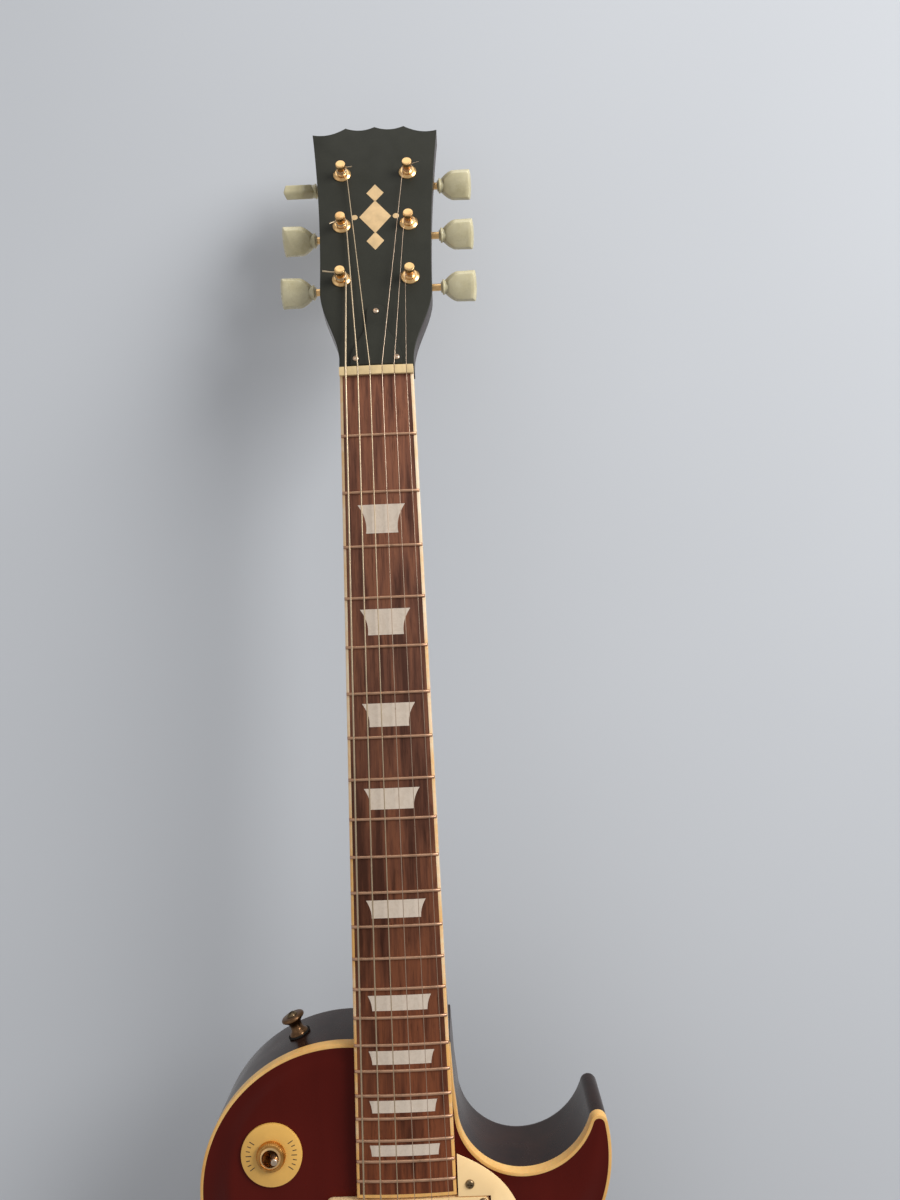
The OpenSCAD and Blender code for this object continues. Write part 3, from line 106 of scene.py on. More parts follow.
# Sizes and colours that a user would change


def length(name, text, value):
    """A length given in millimetres and kept in metres."""
    size = value * MM
    return bpy.props.FloatProperty(
        name=name, description=text, default=size, min=0, unit="LENGTH", precision=5
    )


def angle(name, text, value):
    """An angle given in degrees and kept in radians."""
    size = math.radians(value)
    return bpy.props.FloatProperty(name=name, description=text, default=size, unit="ROTATION")


def linear(value):
    """Light of a colour value between 0 and 255."""
    c = value / 255
    return c / 12.92 if c <= 0.04045 else ((c + 0.055) / 1.055) ** 2.4


def colour(name, text, red, green, blue):
    """A colour given as it shows on a screen and kept as light."""
    light = tuple(linear(c) for c in (red, green, blue))
    return bpy.props.FloatVectorProperty(
        name=name, description=text, default=light, min=0, max=1, size=3, subtype="COLOR"
    )


class GuitarNeckSizes(bpy.types.PropertyGroup):
    scale_length: length("Scale length", "From the nut to where the strings end", 628)
    nut_width: length("Nut width", "Width of the board at the nut", 43)
    last_width: length("Last width", "Width of the board at the last fret", 55)
    nut_thick: length("Nut thickness", "Thickness of the nut along the strings", 5)
    board_thick: length("Board thickness", "Thickness of the fretboard", 6)
    board_radius: length("Board radius", "Radius of the crowned board", 305)
    board_tail: length("Board tail", "Board past the last fret", 9)
    neck_depth: length("Neck depth", "Depth of the neck behind the board at the nut", 14.5)
    neck_depth_mid: length("Middle depth", "Depth of the neck at the twelfth fret", 17.5)
    heel_depth: length("Heel depth", "Depth of the heel", 33)
    fret_width: length("Fret width", "Width of a fret", 1.75)
    fret_height: length("Fret height", "Height of a fret", 1.1)
    head_length: length("Head length", "Length of the head past the nut", 182)
    head_thick: length("Head thickness", "Thickness of the head", 14)
    veneer_thick: length("Veneer thickness", "Thickness of the head's black face", 1.5)
    head_half: length("Head half width", "Half width of the head where its flare ends", 34)
    head_top_half: length("Head top half width", "Half width of the head at its top", 40.6)
    head_drop: length("Head drop", "How far the head's face lies behind the board's", 3)
    head_crest: length("Head crest", "Height of the scalloped top edge", 4.6)
    neck_angle: angle("Neck angle", "Angle between the neck and the body", 4)
    head_angle: angle("Head angle", "Angle between the head and the neck", 17)


class GuitarBodySizes(bpy.types.PropertyGroup):
    body_length: length("Body length", "From the neck joint to the bottom", 437)
    body_thick: length("Body thickness", "From the rim to the back", 48)
    upper_half: length("Upper half width", "Reach of the bass shoulder", 118)
    upper_r: length("Shoulder radius", "Radius of the bass shoulder", 84.5)
    upper_drop: length("Shoulder drop", "Top of the bass shoulder below the joint", 2.3)
    lower_half: length("Lower half width", "Half width of the lower bout", 165)
    lower_r: length("Lower radius", "Radius of the lower bout", 123)
    bottom_bow: length("Bottom bow", "How far the bottom edge bows out", 5)
    waist_bass_r: length("Bass waist radius", "Radius of the bass waist", 100)
    waist_treble_r: length("Treble waist radius", "Radius of the treble waist", 135)
    horn_half: length("Horn reach", "Reach of the treble horn", 115.5)
    horn_r: length("Horn radius", "Radius of the horn's outer side", 85)
    horn_drop: length("Horn drop", "Place of the horn's centre below the joint", 68)
    tip_r: length("Tip radius", "Radius of the horn's tip", 5)
    cut_x: length("Cutaway place", "Place of the cutaway's lowest point", 65.5)
    cut_drop: length("Cutaway drop", "Depth of the cutaway below the joint", 79)
    cut_r: length("Cutaway radius", "Radius of the cutaway towards the horn", 41)
    cut_neck_r: length("Cutaway neck radius", "Radius of the cutaway towards the neck", 36)
    carve_rise: length("Carve rise", "Height of the carved top over the rim", 12)
    cap_thick: length("Cap thickness", "Thickness of the top at the rim", 6)
    bind_width: length("Binding width", "Width of the binding round the top", 1.8)
    back_round: length("Back rounding", "Radius along the edge of the back", 4.5)
    side_depth: length("Side depth", "Depth of the fittings in the rim", 25)
    plate_d: length("Switch plate", "Diameter of the plate under the switch", 34.3)
    knob_height: length("Knob height", "Height of a control knob", 15)
    knob_r: length("Knob radius", "Radius of a control knob", 12.7)


class GuitarColours(bpy.types.PropertyGroup):
    top_wine: colour("Top", "Wine lacquer of the top", 88, 23, 16)
    top_deep: colour("Top, deep", "Darker wine of the top", 64, 15, 10)
    back_wine: colour("Back", "Dark lacquer of the back and neck", 44, 24, 18)
    back_deep: colour("Back, deep", "Grain of the back and neck", 27, 14, 13)
    binding: colour("Binding", "Aged binding", 230, 184, 112)
    binding_aged: colour("Binding, aged", "Ambered places of the binding", 208, 152, 78)
    edge: colour("Board edge", "Binding of the fretboard", 242, 222, 192)
    edge_aged: colour("Board edge, aged", "Yellowed places of the board's binding", 226, 172, 98)
    head_black: colour("Head face", "Black face of the head", 54, 54, 47)
    black_plastic: colour("Black plastic", "Covers", 24, 24, 24)
    gold: colour("Gold", "Plated metal", 248, 204, 142)
    gold_worn: colour("Gold, worn", "Worn plating", 216, 162, 104)
    gold_old: colour("Old gold", "Nut of the switch", 214, 156, 84)
    screw: colour("Screws", "Dulled screws", 150, 128, 98)
    strap: colour("Strap buttons", "Dark bronze", 126, 94, 66)
    leaf: colour("Head inlay", "Pale gold inlay of the head", 222, 188, 138)
    nickel: colour("Nickel", "Plain wire and the screws of the head", 206, 182, 158)
    fret: colour("Frets", "Fret wire", 202, 160, 130)
    bone: colour("Nut", "Nut", 228, 200, 148)
    rose_light: colour("Rosewood, light", "Light streaks of the fretboard", 140, 92, 70)
    rose_mid: colour("Rosewood", "Fretboard", 120, 79, 63)
    rose_dark: colour("Rosewood, dark", "Dark streaks of the fretboard", 88, 58, 48)
    pearl: colour("Pearl", "Inlays", 210, 195, 178)
    pearl_shade: colour("Pearl, shade", "Shade in the inlays", 203, 187, 169)
    bronze: colour("Wound strings", "Wrap wire", 200, 180, 150)
    cream: colour("Cream plastic", "Pickguard and rings", 248, 216, 164)
    cream_deep: colour("Cream, deep", "Aged cream plastic", 242, 206, 150)
    chip: colour("Switch plate", "Golden cream plate", 228, 176, 88)
    key: colour("Keys", "Tuner buttons", 212, 203, 168)
    key_deep: colour("Keys, deep", "Aged places of the buttons", 196, 186, 148)
    amber: colour("Knobs", "Amber knobs", 186, 112, 34)
    wall: colour("Backdrop", "Backdrop behind the guitar", 202, 205, 209)
    floor: colour("Floor", "Floor", 214, 214, 213)


# Geometry of the guitar


def mix(a, b, k):
    return a + (b - a) * k


def smooth(k):
    k = max(0.0, min(1.0, k))
    return k * k * (3 - 2 * k)


def ease(value, start, end):
    """Smooth step from 0 at the start to 1 at the end."""
    return smooth((value - start) / (end - start))


def signed_pow(c, e):
    return math.copysign(abs(c) ** e, c)


def heading(a, b):
    return math.degrees(math.atan2(b[1] - a[1], b[0] - a[0]))


def arc(c, r, a0, a1, n):
    """Points of an arc between two angles in degrees, without its last one."""
    turns = [math.radians(mix(a0, a1, i / n)) for i in range(n)]
    return [Vector((c[0] + r * math.cos(a), c[1] + r * math.sin(a))) for a in turns]


def apex(a, b, da, db, side):
    """Corner of a triangle on the side a-b with the other two sides given."""
    d = (b - a).length
    u = (b - a) / d
    t = (da * da - db * db + d * d) / (2 * d)
    h = math.sqrt(da * da - t * t)
    return a + t * u + side * h * Vector((-u[1], u[0]))


def move(x=0, y=0, z=0):
    return Matrix.Translation((x, y, z))


def turn(degrees, axis):
    return Matrix.Rotation(math.radians(degrees), 4, axis)


def in_mm(group):
    """The values of a property group, with lengths in millimetres and angles in degrees."""
    values = {}
    for prop in group.bl_rna.properties:
        if prop.identifier in ("rna_type", "name"):
            continue
        value = getattr(group, prop.identifier)
        values[prop.identifier] = value / MM if prop.unit == "LENGTH" else math.degrees(value)
    return values


def head_side(i):
    """Side of the head that holds the post of a string."""
    return -1 if i < BASS else 1


class Layout:
    """Sizes in millimetres, the frames of neck, head and body, and the curves that pieces share."""

    def __init__(self, scene):
        s = SimpleNamespace(**in_mm(scene.guitar_neck), **in_mm(scene.guitar_body))
        s.lower_rise = s.lower_r + s.bottom_bow
        self.s = s
        self.place_frames(s)
        self.place_arcs(s)
        self.place_fittings(s)
        self.place_controls(s)

    def place_frames(self, s):
        """Frames of the neck, the head and the body, and the posts on the head."""
        self.join_at = self.fret_at(JOIN_FRET)
        self.board_end = self.fret_at(FRETS) + s.board_tail
        a = math.radians(s.neck_angle)
        self.rim_y = s.board_thick * math.cos(a) - self.join_at * math.sin(a) + RIM_DROP
        self.rim_z = -self.join_at * math.cos(a)
        self.neck = turn(-s.neck_angle, "X")
        self.head = self.neck @ move(0, s.head_drop, s.nut_thick) @ turn(-s.head_angle, "X")
        self.body = move(0, self.rim_y, self.rim_z)
        self.posts = []
        for i in range(STRINGS):
            row = min(i, STRINGS - 1 - i)
            self.posts.append(Vector((POST_X * head_side(i), POST_FIRST + POST_PITCH * row)))

    def place_arcs(self, s):
        """Centres of the main arcs along the edge of the body."""
        self.bass_c = Vector((s.upper_r - s.upper_half, -s.upper_drop - s.upper_r))
        self.low_t = Vector((s.lower_half - s.lower_r, s.lower_rise - s.body_length))
        self.horn_c = Vector((s.horn_half - s.horn_r, -s.horn_drop))
        self.cut_c = Vector((s.cut_x, s.cut_r - s.cut_drop))
        self.edge_x = self.board_half(self.board_end) + BOARD_GAP

    def place_fittings(self, s):
        """Pickups, bridge, tailpiece, socket and strap buttons."""
        self.bridge_s = s.scale_length + BRIDGE_SETBACK
        bridge_z = (self.neck @ Vector((0, 0, -self.bridge_s)))[2] - self.rim_z
        self.tail_z = bridge_z - TAIL_GAP
        self.neck_pickup = self.neck @ move(0, s.board_thick, -self.along(NECK_PICKUP))
        base = self.neck.inverted() @ self.body @ Vector((0, -s.carve_rise, -BRIDGE_PICKUP))
        self.bridge_pickup = self.neck @ move(0, base[1], base[2])
        side = self.body @ move(self.low_t[0], s.side_depth, self.low_t[1])
        self.jack = side @ turn(JACK_TURN, "Y")
        shoulder = self.body @ move(self.bass_c[0], s.side_depth, self.bass_c[1])
        self.straps = (
            shoulder @ turn(STRAP_TURN, "Y") @ move(s.upper_r) @ turn(90, "Y"),
            self.body @ move(0, s.side_depth, -s.body_length) @ turn(180, "Y"),
        )

    def place_controls(self, s):
        """Switch, knobs, the cavity behind the knobs, and the screws of the back covers."""
        self.switch_p = Vector(SWITCH_AT)
        self.switch = self.neck @ move(SWITCH_AT[0], s.board_thick, -self.along(-SWITCH_AT[1]))
        first = Vector((s.lower_half - KNOB_FIRST[0], KNOB_FIRST[1] - s.body_length))
        row, step = first - Vector(KNOB_ROW), Vector(KNOB_STEP)
        self.knobs = [first, first + step, row, row + step]
        self.cavity = [row, row + step, first + step, first]
        middle = (self.cavity[0] + self.cavity[2]) / 2
        self.cover_screws = [p + (p - middle).normalized() * CONTROL_SCREW_R for p in self.cavity]
        self.cover_screws += [self.switch_p + p for p in arc((0, 0), SWITCH_SCREW_R, 90, 450, 3)]

    def along(self, z):
        """Distance from the nut, along the neck, of a height below the joint."""
        return self.join_at + z / math.cos(math.radians(self.s.neck_angle))

    def fret_at(self, n):
        return self.s.scale_length * (1 - 2 ** (-n / 12))

    def board_half(self, at):
        s = self.s
        return s.nut_width / 2 + (s.last_width - s.nut_width) / 2 * at / self.fret_at(FRETS)

    def crown(self, x):
        """Depth of the board's surface at a distance from its middle."""
        r = self.s.board_radius
        return r - math.sqrt(r * r - x * x)

    def outline(self, d):
        """Edge of the body as a chain of tangent arcs, inset by d, with x and height below the joint."""
        s = self.s
        bass_c, low_t, horn_c, cut_c = self.bass_c, self.low_t, self.horn_c, self.cut_c
        low_b = Vector((-low_t[0], low_t[1]))
        bottom_r = (low_t[0] ** 2 + s.lower_rise**2 - s.lower_r**2) / (2 * (s.lower_rise - s.lower_r))
        bottom_c = Vector((0, bottom_r - s.body_length))
        waist_b = apex(bass_c, low_b, s.upper_r + s.waist_bass_r, s.lower_r + s.waist_bass_r, -1)
        waist_t = apex(horn_c, low_t, s.horn_r + s.waist_treble_r, s.lower_r + s.waist_treble_r, 1)
        cut_neck_c = Vector((s.cut_x, s.cut_neck_r - s.cut_drop))
        tip_c = apex(horn_c, cut_c, s.horn_r - s.tip_r, s.cut_r + s.tip_r, -1)
        edge_z = bass_c[1] + math.sqrt(s.upper_r**2 - (self.edge_x + bass_c[0]) ** 2)
        start = math.degrees(math.asin((edge_z - d - bass_c[1]) / (s.upper_r - d)))
        bass_end = heading(bass_c, waist_b) + 360
        waist_b_end = heading(waist_b, low_b)
        low_b_end = heading(bottom_c, low_b) + 360
        low_t_end = heading(low_t, waist_t) + 360
        waist_t_end = heading(waist_t, horn_c)
        horn_end = heading(horn_c, tip_c)
        tip_end = heading(tip_c, cut_c)
        line = []
        for c, r, a0, a1, n in (
            (bass_c, s.upper_r - d, start, bass_end, 80),
            (waist_b, s.waist_bass_r + d, bass_end - 180, waist_b_end, 40),
            (low_b, s.lower_r - d, waist_b_end + 180, low_b_end, 80),
            (bottom_c, bottom_r - d, low_b_end, 540 - low_b_end, 24),
            (low_t, s.lower_r - d, 540 - low_b_end, low_t_end, 80),
            (waist_t, s.waist_treble_r + d, low_t_end - 180, waist_t_end, 40),
            (horn_c, s.horn_r - d, waist_t_end - 180, horn_end, 24),
            (tip_c, s.tip_r - d, horn_end, tip_end, 28),
            (cut_c, s.cut_r + d, tip_end - 180, -90, 36),
            (cut_neck_c, s.cut_neck_r + d, -90, -180, 40),
        ):
            line += arc(c, r, a0, a1, n)
        neck_x = self.board_half(self.join_at) + NECK_GAP
        bend_share, bend_rise = 0.3, 14
        bend = Vector((mix(self.edge_x, neck_x, bend_share) - d, cut_neck_c[1] + bend_rise))
        return line + [bend, Vector((neck_x - d, edge_z - d))]

    def carve_width(self, p):
        """Width of the slope at a point: wide on the lower bout, narrow at the cutaway."""
        s = self.s
        upper, lower, at_cut, reach = 40, 72, 22, 45
        below = -p[1]
        w = mix(upper, lower, ease(below, 100, 250))
        w *= mix(0.78, 1, ease(below, 230, 290))
        narrowest = Vector((s.cut_x - 3, 20 - s.cut_drop))
        away = (p - narrowest).length / reach
        return mix(w, at_cut, math.exp(-away * away))

    def rim_tree(self):
        """Closely set points of the carve's edge, to measure distances from."""
        rim = self.outline(self.s.bind_width)
        points = [mix(a, b, k / 8) for a, b in zip(rim, rim[1:]) for k in range(8)]
        tree = kdtree.KDTree(len(points))
        for i, p in enumerate(points):
            tree.insert((*p, 0), i)
        tree.balance()
        return tree

    def from_rim(self, tree, q):
        """Distance of a point from the rim, which in the horn is softened between its two sides."""
        s = self.s
        least = 0.01
        near = tree.find((*q, 0))[2]
        horn = ease(q[0], 62, 87) * ease(q[1], -150, -100)
        if not horn:
            return near
        inner = max(least, (q - self.cut_c).length - s.cut_r - s.bind_width)
        outer = max(least, s.horn_r - s.bind_width - (q - self.horn_c).length)
        return mix(near, (inner**-2 + outer**-2) ** -0.5, horn)

    def carve(self, d, w, z):
        """Height of the top at d from the rim, for a slope w wide, running into the plane of the neck."""
        s = self.s
        power = 12  # the higher, the shorter the way from the slope into the plane
        a = math.radians(s.neck_angle)
        plane = RIM_DROP - s.board_thick * (1 / math.cos(a) - math.cos(a)) - z * math.tan(a)
        rise = s.carve_rise * smooth(d / w)
        return 0 if rise <= 0 else (rise**-power + plane**-power) ** (-1 / power)

    def head_half_at(self, v):
        """Half width of the head at a height over the nut."""
        s = self.s
        if v < HEAD_FLARE:
            return mix(s.nut_width / 2 + 0.4, s.head_half, ease(v, 6, HEAD_FLARE))
        up = (v - HEAD_FLARE) / (s.head_length - HEAD_FLARE)
        return s.head_half + (s.head_top_half - s.head_half) * up**2

    def head_points(self):
        """Outline of the head with its scalloped top."""
        s = self.s
        heights = [s.head_length * i / 48 for i in range(49)]
        side = [Vector((self.head_half_at(v), v)) for v in heights]
        crest, peak_x = s.head_length + s.head_crest, 19
        knots = [(s.head_top_half, s.head_length), (peak_x, crest), (0, crest + 0.2), (-peak_x, crest)]
        knots.append((-s.head_top_half, s.head_length))
        top = []
        for j, sag in enumerate((2.7, 2.4, 2.4, 2.7)):
            a, b = Vector(knots[j]), Vector(knots[j + 1])
            shares = [k / 12 for k in range(12)]
            top += [mix(a, b, k) - Vector((0, 4 * sag * k * (1 - k))) for k in shares]
        return side[:-1] + top + [Vector((-p[0], p[1])) for p in reversed(side)]


# Modelling


def deselect():
    if bpy.context.mode != "OBJECT":
        bpy.ops.object.mode_set(mode="OBJECT")
    bpy.ops.object.select_all(action="DESELECT")


def pick(*objects):
    """Select these objects alone, the first one active."""
    deselect()
    for obj in objects:
        obj.select_set(True)
    bpy.context.view_layer.objects.active = objects[0]


def named(name):
    obj = bpy.context.object
    obj.name = obj.data.name = name
    return obj


def loft(name, rings, closed=False):
    """Skin of equal rings: a circle extruded ring by ring, each new ring set in its place."""
    deselect()
    count = len(rings[0])
    bpy.ops.mesh.primitive_circle_add(vertices=count)
    obj = named(name)
    bpy.ops.object.mode_set(mode="EDIT")
    bm = bmesh.from_edit_mesh(obj.data)
    bm.verts.ensure_lookup_table()
    last = list(range(count))
    for i, p in enumerate(rings[0]):
        bm.verts[i].co = p
    if not closed:
        bpy.ops.mesh.edge_face_add()
    for ring in rings[1:]:
        bpy.ops.mesh.select_mode(type="EDGE")
        bpy.ops.mesh.extrude_edges_move()
        bm = bmesh.from_edit_mesh(obj.data)
        bm.verts.index_update()
        bm.verts.ensure_lookup_table()
        fresh = []
        for i in last:
            v = bm.verts[i]
            fresh.append(next(e.other_vert(v) for e in v.link_edges if e.other_vert(v).select))
        for v, p in zip(fresh, ring):
            v.co = p
        last = [v.index for v in fresh]
    if closed:
        for i in range(count):
            bm.verts[i].select = True
        bm.select_flush(True)
        for e in bm.edges:
            e.select = len(e.link_faces) == 1
        bpy.ops.mesh.bridge_edge_loops()
    else:
        bpy.ops.mesh.edge_face_add()
    bpy.ops.mesh.select_all(action="SELECT")
    bpy.ops.mesh.normals_make_consistent(inside=False)
    bpy.ops.object.mode_set(mode="OBJECT")
    return obj


def plate(name, points, y0, y1):
    """Flat outline, given as x and z, extruded from depth y1 to y0."""
    deselect()
    bpy.ops.mesh.primitive_circle_add(vertices=len(points))
    obj = named(name)
    for v, p in zip(obj.data.vertices, points):
        v.co = (p[0], y1, p[1])
    bpy.ops.object.mode_set(mode="EDIT")
    bpy.ops.mesh.edge_face_add()
    bpy.ops.mesh.extrude_region_move(TRANSFORM_OT_translate={"value": (0, y0 - y1, 0)})
    bpy.ops.mesh.select_all(action="SELECT")
    bpy.ops.mesh.normals_make_consistent(inside=False)
    bpy.ops.object.mode_set(mode="OBJECT")
    return obj


def spun(name, profile, steps=48):
    """Turned shape: a profile of radius and height towards the front, spun round the depth axis."""
    deselect()
    bpy.ops.mesh.primitive_circle_add(vertices=len(profile))
    obj = named(name)
    for v, (r, h) in zip(obj.data.vertices, profile):
        v.co = (r, -h, 0)
    bpy.ops.object.mode_set(mode="EDIT")
    bpy.ops.mesh.select_all(action="SELECT")
    bpy.ops.mesh.spin(steps=steps, angle=math.tau, center=(0, 0, 0), axis=(0, 1, 0))
    bpy.ops.mesh.select_all(action="SELECT")
    bpy.ops.mesh.remove_doubles(threshold=0.001)
    bpy.ops.mesh.dissolve_degenerate(threshold=0.0005)
    bpy.ops.mesh.select_all(action="SELECT")
    bpy.ops.mesh.normals_make_consistent(inside=False)
    bpy.ops.object.mode_set(mode="OBJECT")
    return obj


def block(name, low, high):
    """Box between two corners, for cutting."""
    deselect()
    low, high = Vector(low), Vector(high)
    bpy.ops.mesh.primitive_cube_add(size=1)
    obj = named(name)
    obj.data.transform(Matrix.Translation((low + high) / 2) @ Matrix.Diagonal((high - low).to_4d()))
    return obj


def rod(name, r, y0, y1, steps=32):
    """Plain round bar along the depth axis, for cutting."""
    return spun(name, [(0, -y1), (r, -y1), (r, -y0), (0, -y0)], steps)


def join(name, *objects):
    pick(*objects)
    if len(objects) > 1:
        bpy.ops.object.join()
    return named(name)


def copy(obj, name, matrix=None):
    twin = bpy.data.objects.new(name, obj.data.copy())
    twin.data.name = name
    bpy.context.scene.collection.objects.link(twin)
    if matrix is not None:
        twin.data.transform(matrix)
    return twin


def apply(obj, kind, **settings):
    pick(obj)
    mod = obj.modifiers.new(kind.title(), kind)
    for key, value in settings.items():
        setattr(mod, key, value)
    bpy.ops.object.modifier_apply(modifier=mod.name)


def cut(obj, *cutters, operation="DIFFERENCE"):
    for cutter in cutters:
        apply(obj, "BOOLEAN", object=cutter, operation=operation, solver="EXACT")
        bpy.data.objects.remove(cutter)


def soften(obj, width, segments=3, limit=35):
    """Round the sharp edges."""
    apply(
        obj,
        "BEVEL",
        width=width,
        segments=segments,
        limit_method="ANGLE",
        angle_limit=math.radians(limit),
        miter_outer="MITER_ARC",
        use_clamp_overlap=True,
    )


def shade(obj, limit=38):
    pick(obj)
    bpy.ops.object.shade_smooth_by_angle(angle=math.radians(limit))


def settle(obj, place, material, body="guitar", slot=None, replaces=(), limit=38):
    """Put a piece drawn in millimetres in its place, with its finish, and let it ride on a body."""
    obj.data.transform(Matrix.Scale(MM, 4) @ place)
    finish(obj, material, body, slot, replaces, limit)


def finish(obj, material, body="guitar", slot=None, replaces=(), limit=38):
    obj.data.materials.clear()
    obj.data.materials.append(bpy.data.materials[PREFIX + material])
    shade(obj, limit)
    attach(obj, body)
    if replaces:
        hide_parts(*replaces)


def dressed(node, width, segments=3):
    """Copy of a solid with merged corners, flat faces and rounded edges, still in metres."""
    merge, flat = 2e-6, math.radians(0.4)
    obj = copy(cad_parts[node], node + "_dressed")
    pick(obj)
    bpy.ops.object.mode_set(mode="EDIT")
    bpy.ops.mesh.customdata_custom_splitnormals_clear()
    bpy.ops.mesh.select_all(action="SELECT")
    bpy.ops.mesh.remove_doubles(threshold=merge)
    bpy.ops.mesh.dissolve_limited(angle_limit=flat)
    bpy.ops.mesh.select_all(action="SELECT")
    bpy.ops.mesh.normals_make_consistent(inside=False)
    bpy.ops.object.mode_set(mode="OBJECT")
    soften(obj, width * MM, segments)
    return obj


# Shader helpers


def put(tree, kind, inputs=None, **settings):
    """Add a node, set its settings, and set or link its inputs."""
    node = tree.nodes.new(kind)
    for key, value in settings.items():
        setattr(node, key, value)
    for key, value in (inputs or {}).items():
        socket = node.inputs[key]
        if isinstance(value, bpy.types.NodeSocket):
            tree.links.new(value, socket)
        else:
            socket.default_value = value
    return node


def ramp(tree, value, stops):
    """Colour ramp over a value, with stops of place and colour."""
    node = put(tree, "ShaderNodeValToRGB", {"Fac": value})
    bar = node.color_ramp.elements
    while len(bar) < len(stops):
        bar.new(0.5)
    for element, (place, tint) in zip(bar, stops):
        element.position = place
        element.color = (*tint, 1)
    return node.outputs["Color"]


def span(tree, value, low, high, start=0.0, end=1.0):
    """Map a value from the range start to end on the range low to high."""
    inputs = {"Value": value, "From Min": start, "From Max": end, "To Min": low, "To Max": high}
    return put(tree, "ShaderNodeMapRange", inputs).outputs["Result"]


def noise(tree, vector, scale, detail=3.0, rough=0.5, warp=0.0):
    inputs = {"Vector": vector, "Scale": scale, "Detail": detail, "Roughness": rough, "Distortion": warp}
    return put(tree, "ShaderNodeTexNoise", inputs).outputs["Fac"]


def object_at(tree):
    return put(tree, "ShaderNodeTexCoord").outputs["Object"]


def height_of(tree):
    return put(tree, "ShaderNodeSeparateXYZ", {0: object_at(tree)}).outputs["Z"]


def stretched(tree, vector, scale, rotation=(0, 0, 0)):
    """Coordinates scaled and turned by a Mapping node."""
    inputs = {"Vector": vector, "Scale": scale, "Rotation": rotation}
    return put(tree, "ShaderNodeMapping", inputs).outputs["Vector"]


def scaled(tree, vector, factors):
    """Coordinates times factors, which may come from a socket."""
    return put(tree, "ShaderNodeVectorMath", {0: vector, 1: factors}, operation="MULTIPLY").outputs[0]


def weighted(tree, value, weight, rest):
    """A value times its weight, added to the rest."""
    inputs = {0: value, 1: weight, 2: rest}
    return put(tree, "ShaderNodeMath", inputs, operation="MULTIPLY_ADD").outputs[0]


def blend(tree, a, b, factor, mode="MIX"):
    """Mix of two colours, through the colour sockets of a Mix node."""
    node = put(tree, "ShaderNodeMix", data_type="RGBA", blend_type=mode)
    for key, value in (("Factor_Float", factor), ("A_Color", a), ("B_Color", b)):
        socket = next(i for i in node.inputs if i.identifier == key)
        if isinstance(value, bpy.types.NodeSocket):
            tree.links.new(value, socket)
        else:
            socket.default_value = value if key == "Factor_Float" else (*value, 1)
    return next(o for o in node.outputs if o.identifier == "Result_Color")


def group(name, sockets):
    """Empty node group with named sockets: (name, in or out, default)."""
    tree = bpy.data.node_groups.new(name, "ShaderNodeTree")
    for title, way, default in sockets:
        socket = tree.interface.new_socket(title, in_out=way, socket_type="NodeSocketFloat")
        if default is not None:
            socket.default_value = default
    return tree, tree.nodes.new("NodeGroupInput"), tree.nodes.new("NodeGroupOutput")


def handling_group():
    """Smudges and fine scratches of a handled surface."""
    sockets = [("Scale", "INPUT", 30.0), ("Low", "INPUT", 0.2), ("High", "INPUT", 0.4)]
    sockets += [("Roughness", "OUTPUT", None), ("Scratches", "OUTPUT", None)]
    tree, given, result = group("Handling", sockets)
    at = object_at(tree)
    smudge = noise(tree, at, given.outputs["Scale"], 5, 0.6)
    spread = span(tree, smudge, given.outputs["Low"], given.outputs["High"], 0.3, 0.7)
    tree.links.new(spread, result.inputs["Roughness"])
    fine = noise(tree, stretched(tree, at, (900, 700, 60), (0.3, 0.7, 0.4)), 1.0, 2)
    cross = noise(tree, stretched(tree, at, (80, 700, 900), (0.9, 0.2, 0.6)), 1.0, 2)
    both = put(tree, "ShaderNodeMath", {0: fine, 1: cross}, operation="MAXIMUM").outputs[0]
    tree.links.new(span(tree, both, 0, 1, 0.62, 0.8), result.inputs["Scratches"])


def timber_group():
    """Streaks, pores and slow colour drift of wood whose grain runs up the instrument."""
    sockets = [("Streaks", "INPUT", 260.0), ("Run", "INPUT", 6.0)]
    sockets += [("Figure", "OUTPUT", None), ("Pores", "OUTPUT", None)]
    tree, given, result = group("Timber", sockets)
    across, run = given.outputs["Streaks"], given.outputs["Run"]
    scale = put(tree, "ShaderNodeCombineXYZ", {"X": across, "Y": across, "Z": run}).outputs[0]
    along = scaled(tree, object_at(tree), scale)
    wide = noise(tree, scaled(tree, along, (0.28, 0.28, 0.5)), 1.0, 3, 0.55, warp=0.35)
    narrow = noise(tree, along, 1.0, 5, 0.6, warp=0.2)
    broad = put(tree, "ShaderNodeMath", {0: wide, 1: 0.62}, operation="MULTIPLY").outputs[0]
    tree.links.new(weighted(tree, narrow, 0.38, broad), result.inputs["Figure"])
    pores = noise(tree, scaled(tree, along, (7.0, 7.0, 14.0)), 1.0, 2, 0.5)
    tree.links.new(span(tree, pores, 0, 1, 0.6, 0.72), result.inputs["Pores"])


def material(name, base, **constants):
    """Material with a Principled shader; constants are set on its own sockets."""
    mat = bpy.data.materials.new(PREFIX + name)
    mat.use_nodes = True
    shader = mat.node_tree.nodes["Principled BSDF"]
    shader.inputs["Base Color"].default_value = (*base, 1)
    for key, value in constants.items():
        shader.inputs[key.replace("_", " ")].default_value = value
    mat.diffuse_color = (*base, 1)
    return mat.node_tree, shader


def emboss(tree, shader, height, strength, distance=0.0002):
    """Bump of a height, or of hollows where the strength is negative."""
    inputs = {"Height": height, "Strength": abs(strength), "Distance": distance}
    node = put(tree, "ShaderNodeBump", inputs, invert=strength < 0)
    tree.links.new(node.outputs["Normal"], shader.inputs["Normal"])


def handled(tree, shader, scale, low, high, bump=0.0):
    """Roughness and scratches from handling."""
    inputs = {"Scale": scale, "Low": low, "High": high}
    node = put(tree, "ShaderNodeGroup", inputs, node_tree=bpy.data.node_groups["Handling"])
    tree.links.new(node.outputs["Roughness"], shader.inputs["Roughness"])
    if bump:
        emboss(tree, shader, node.outputs["Scratches"], -bump)


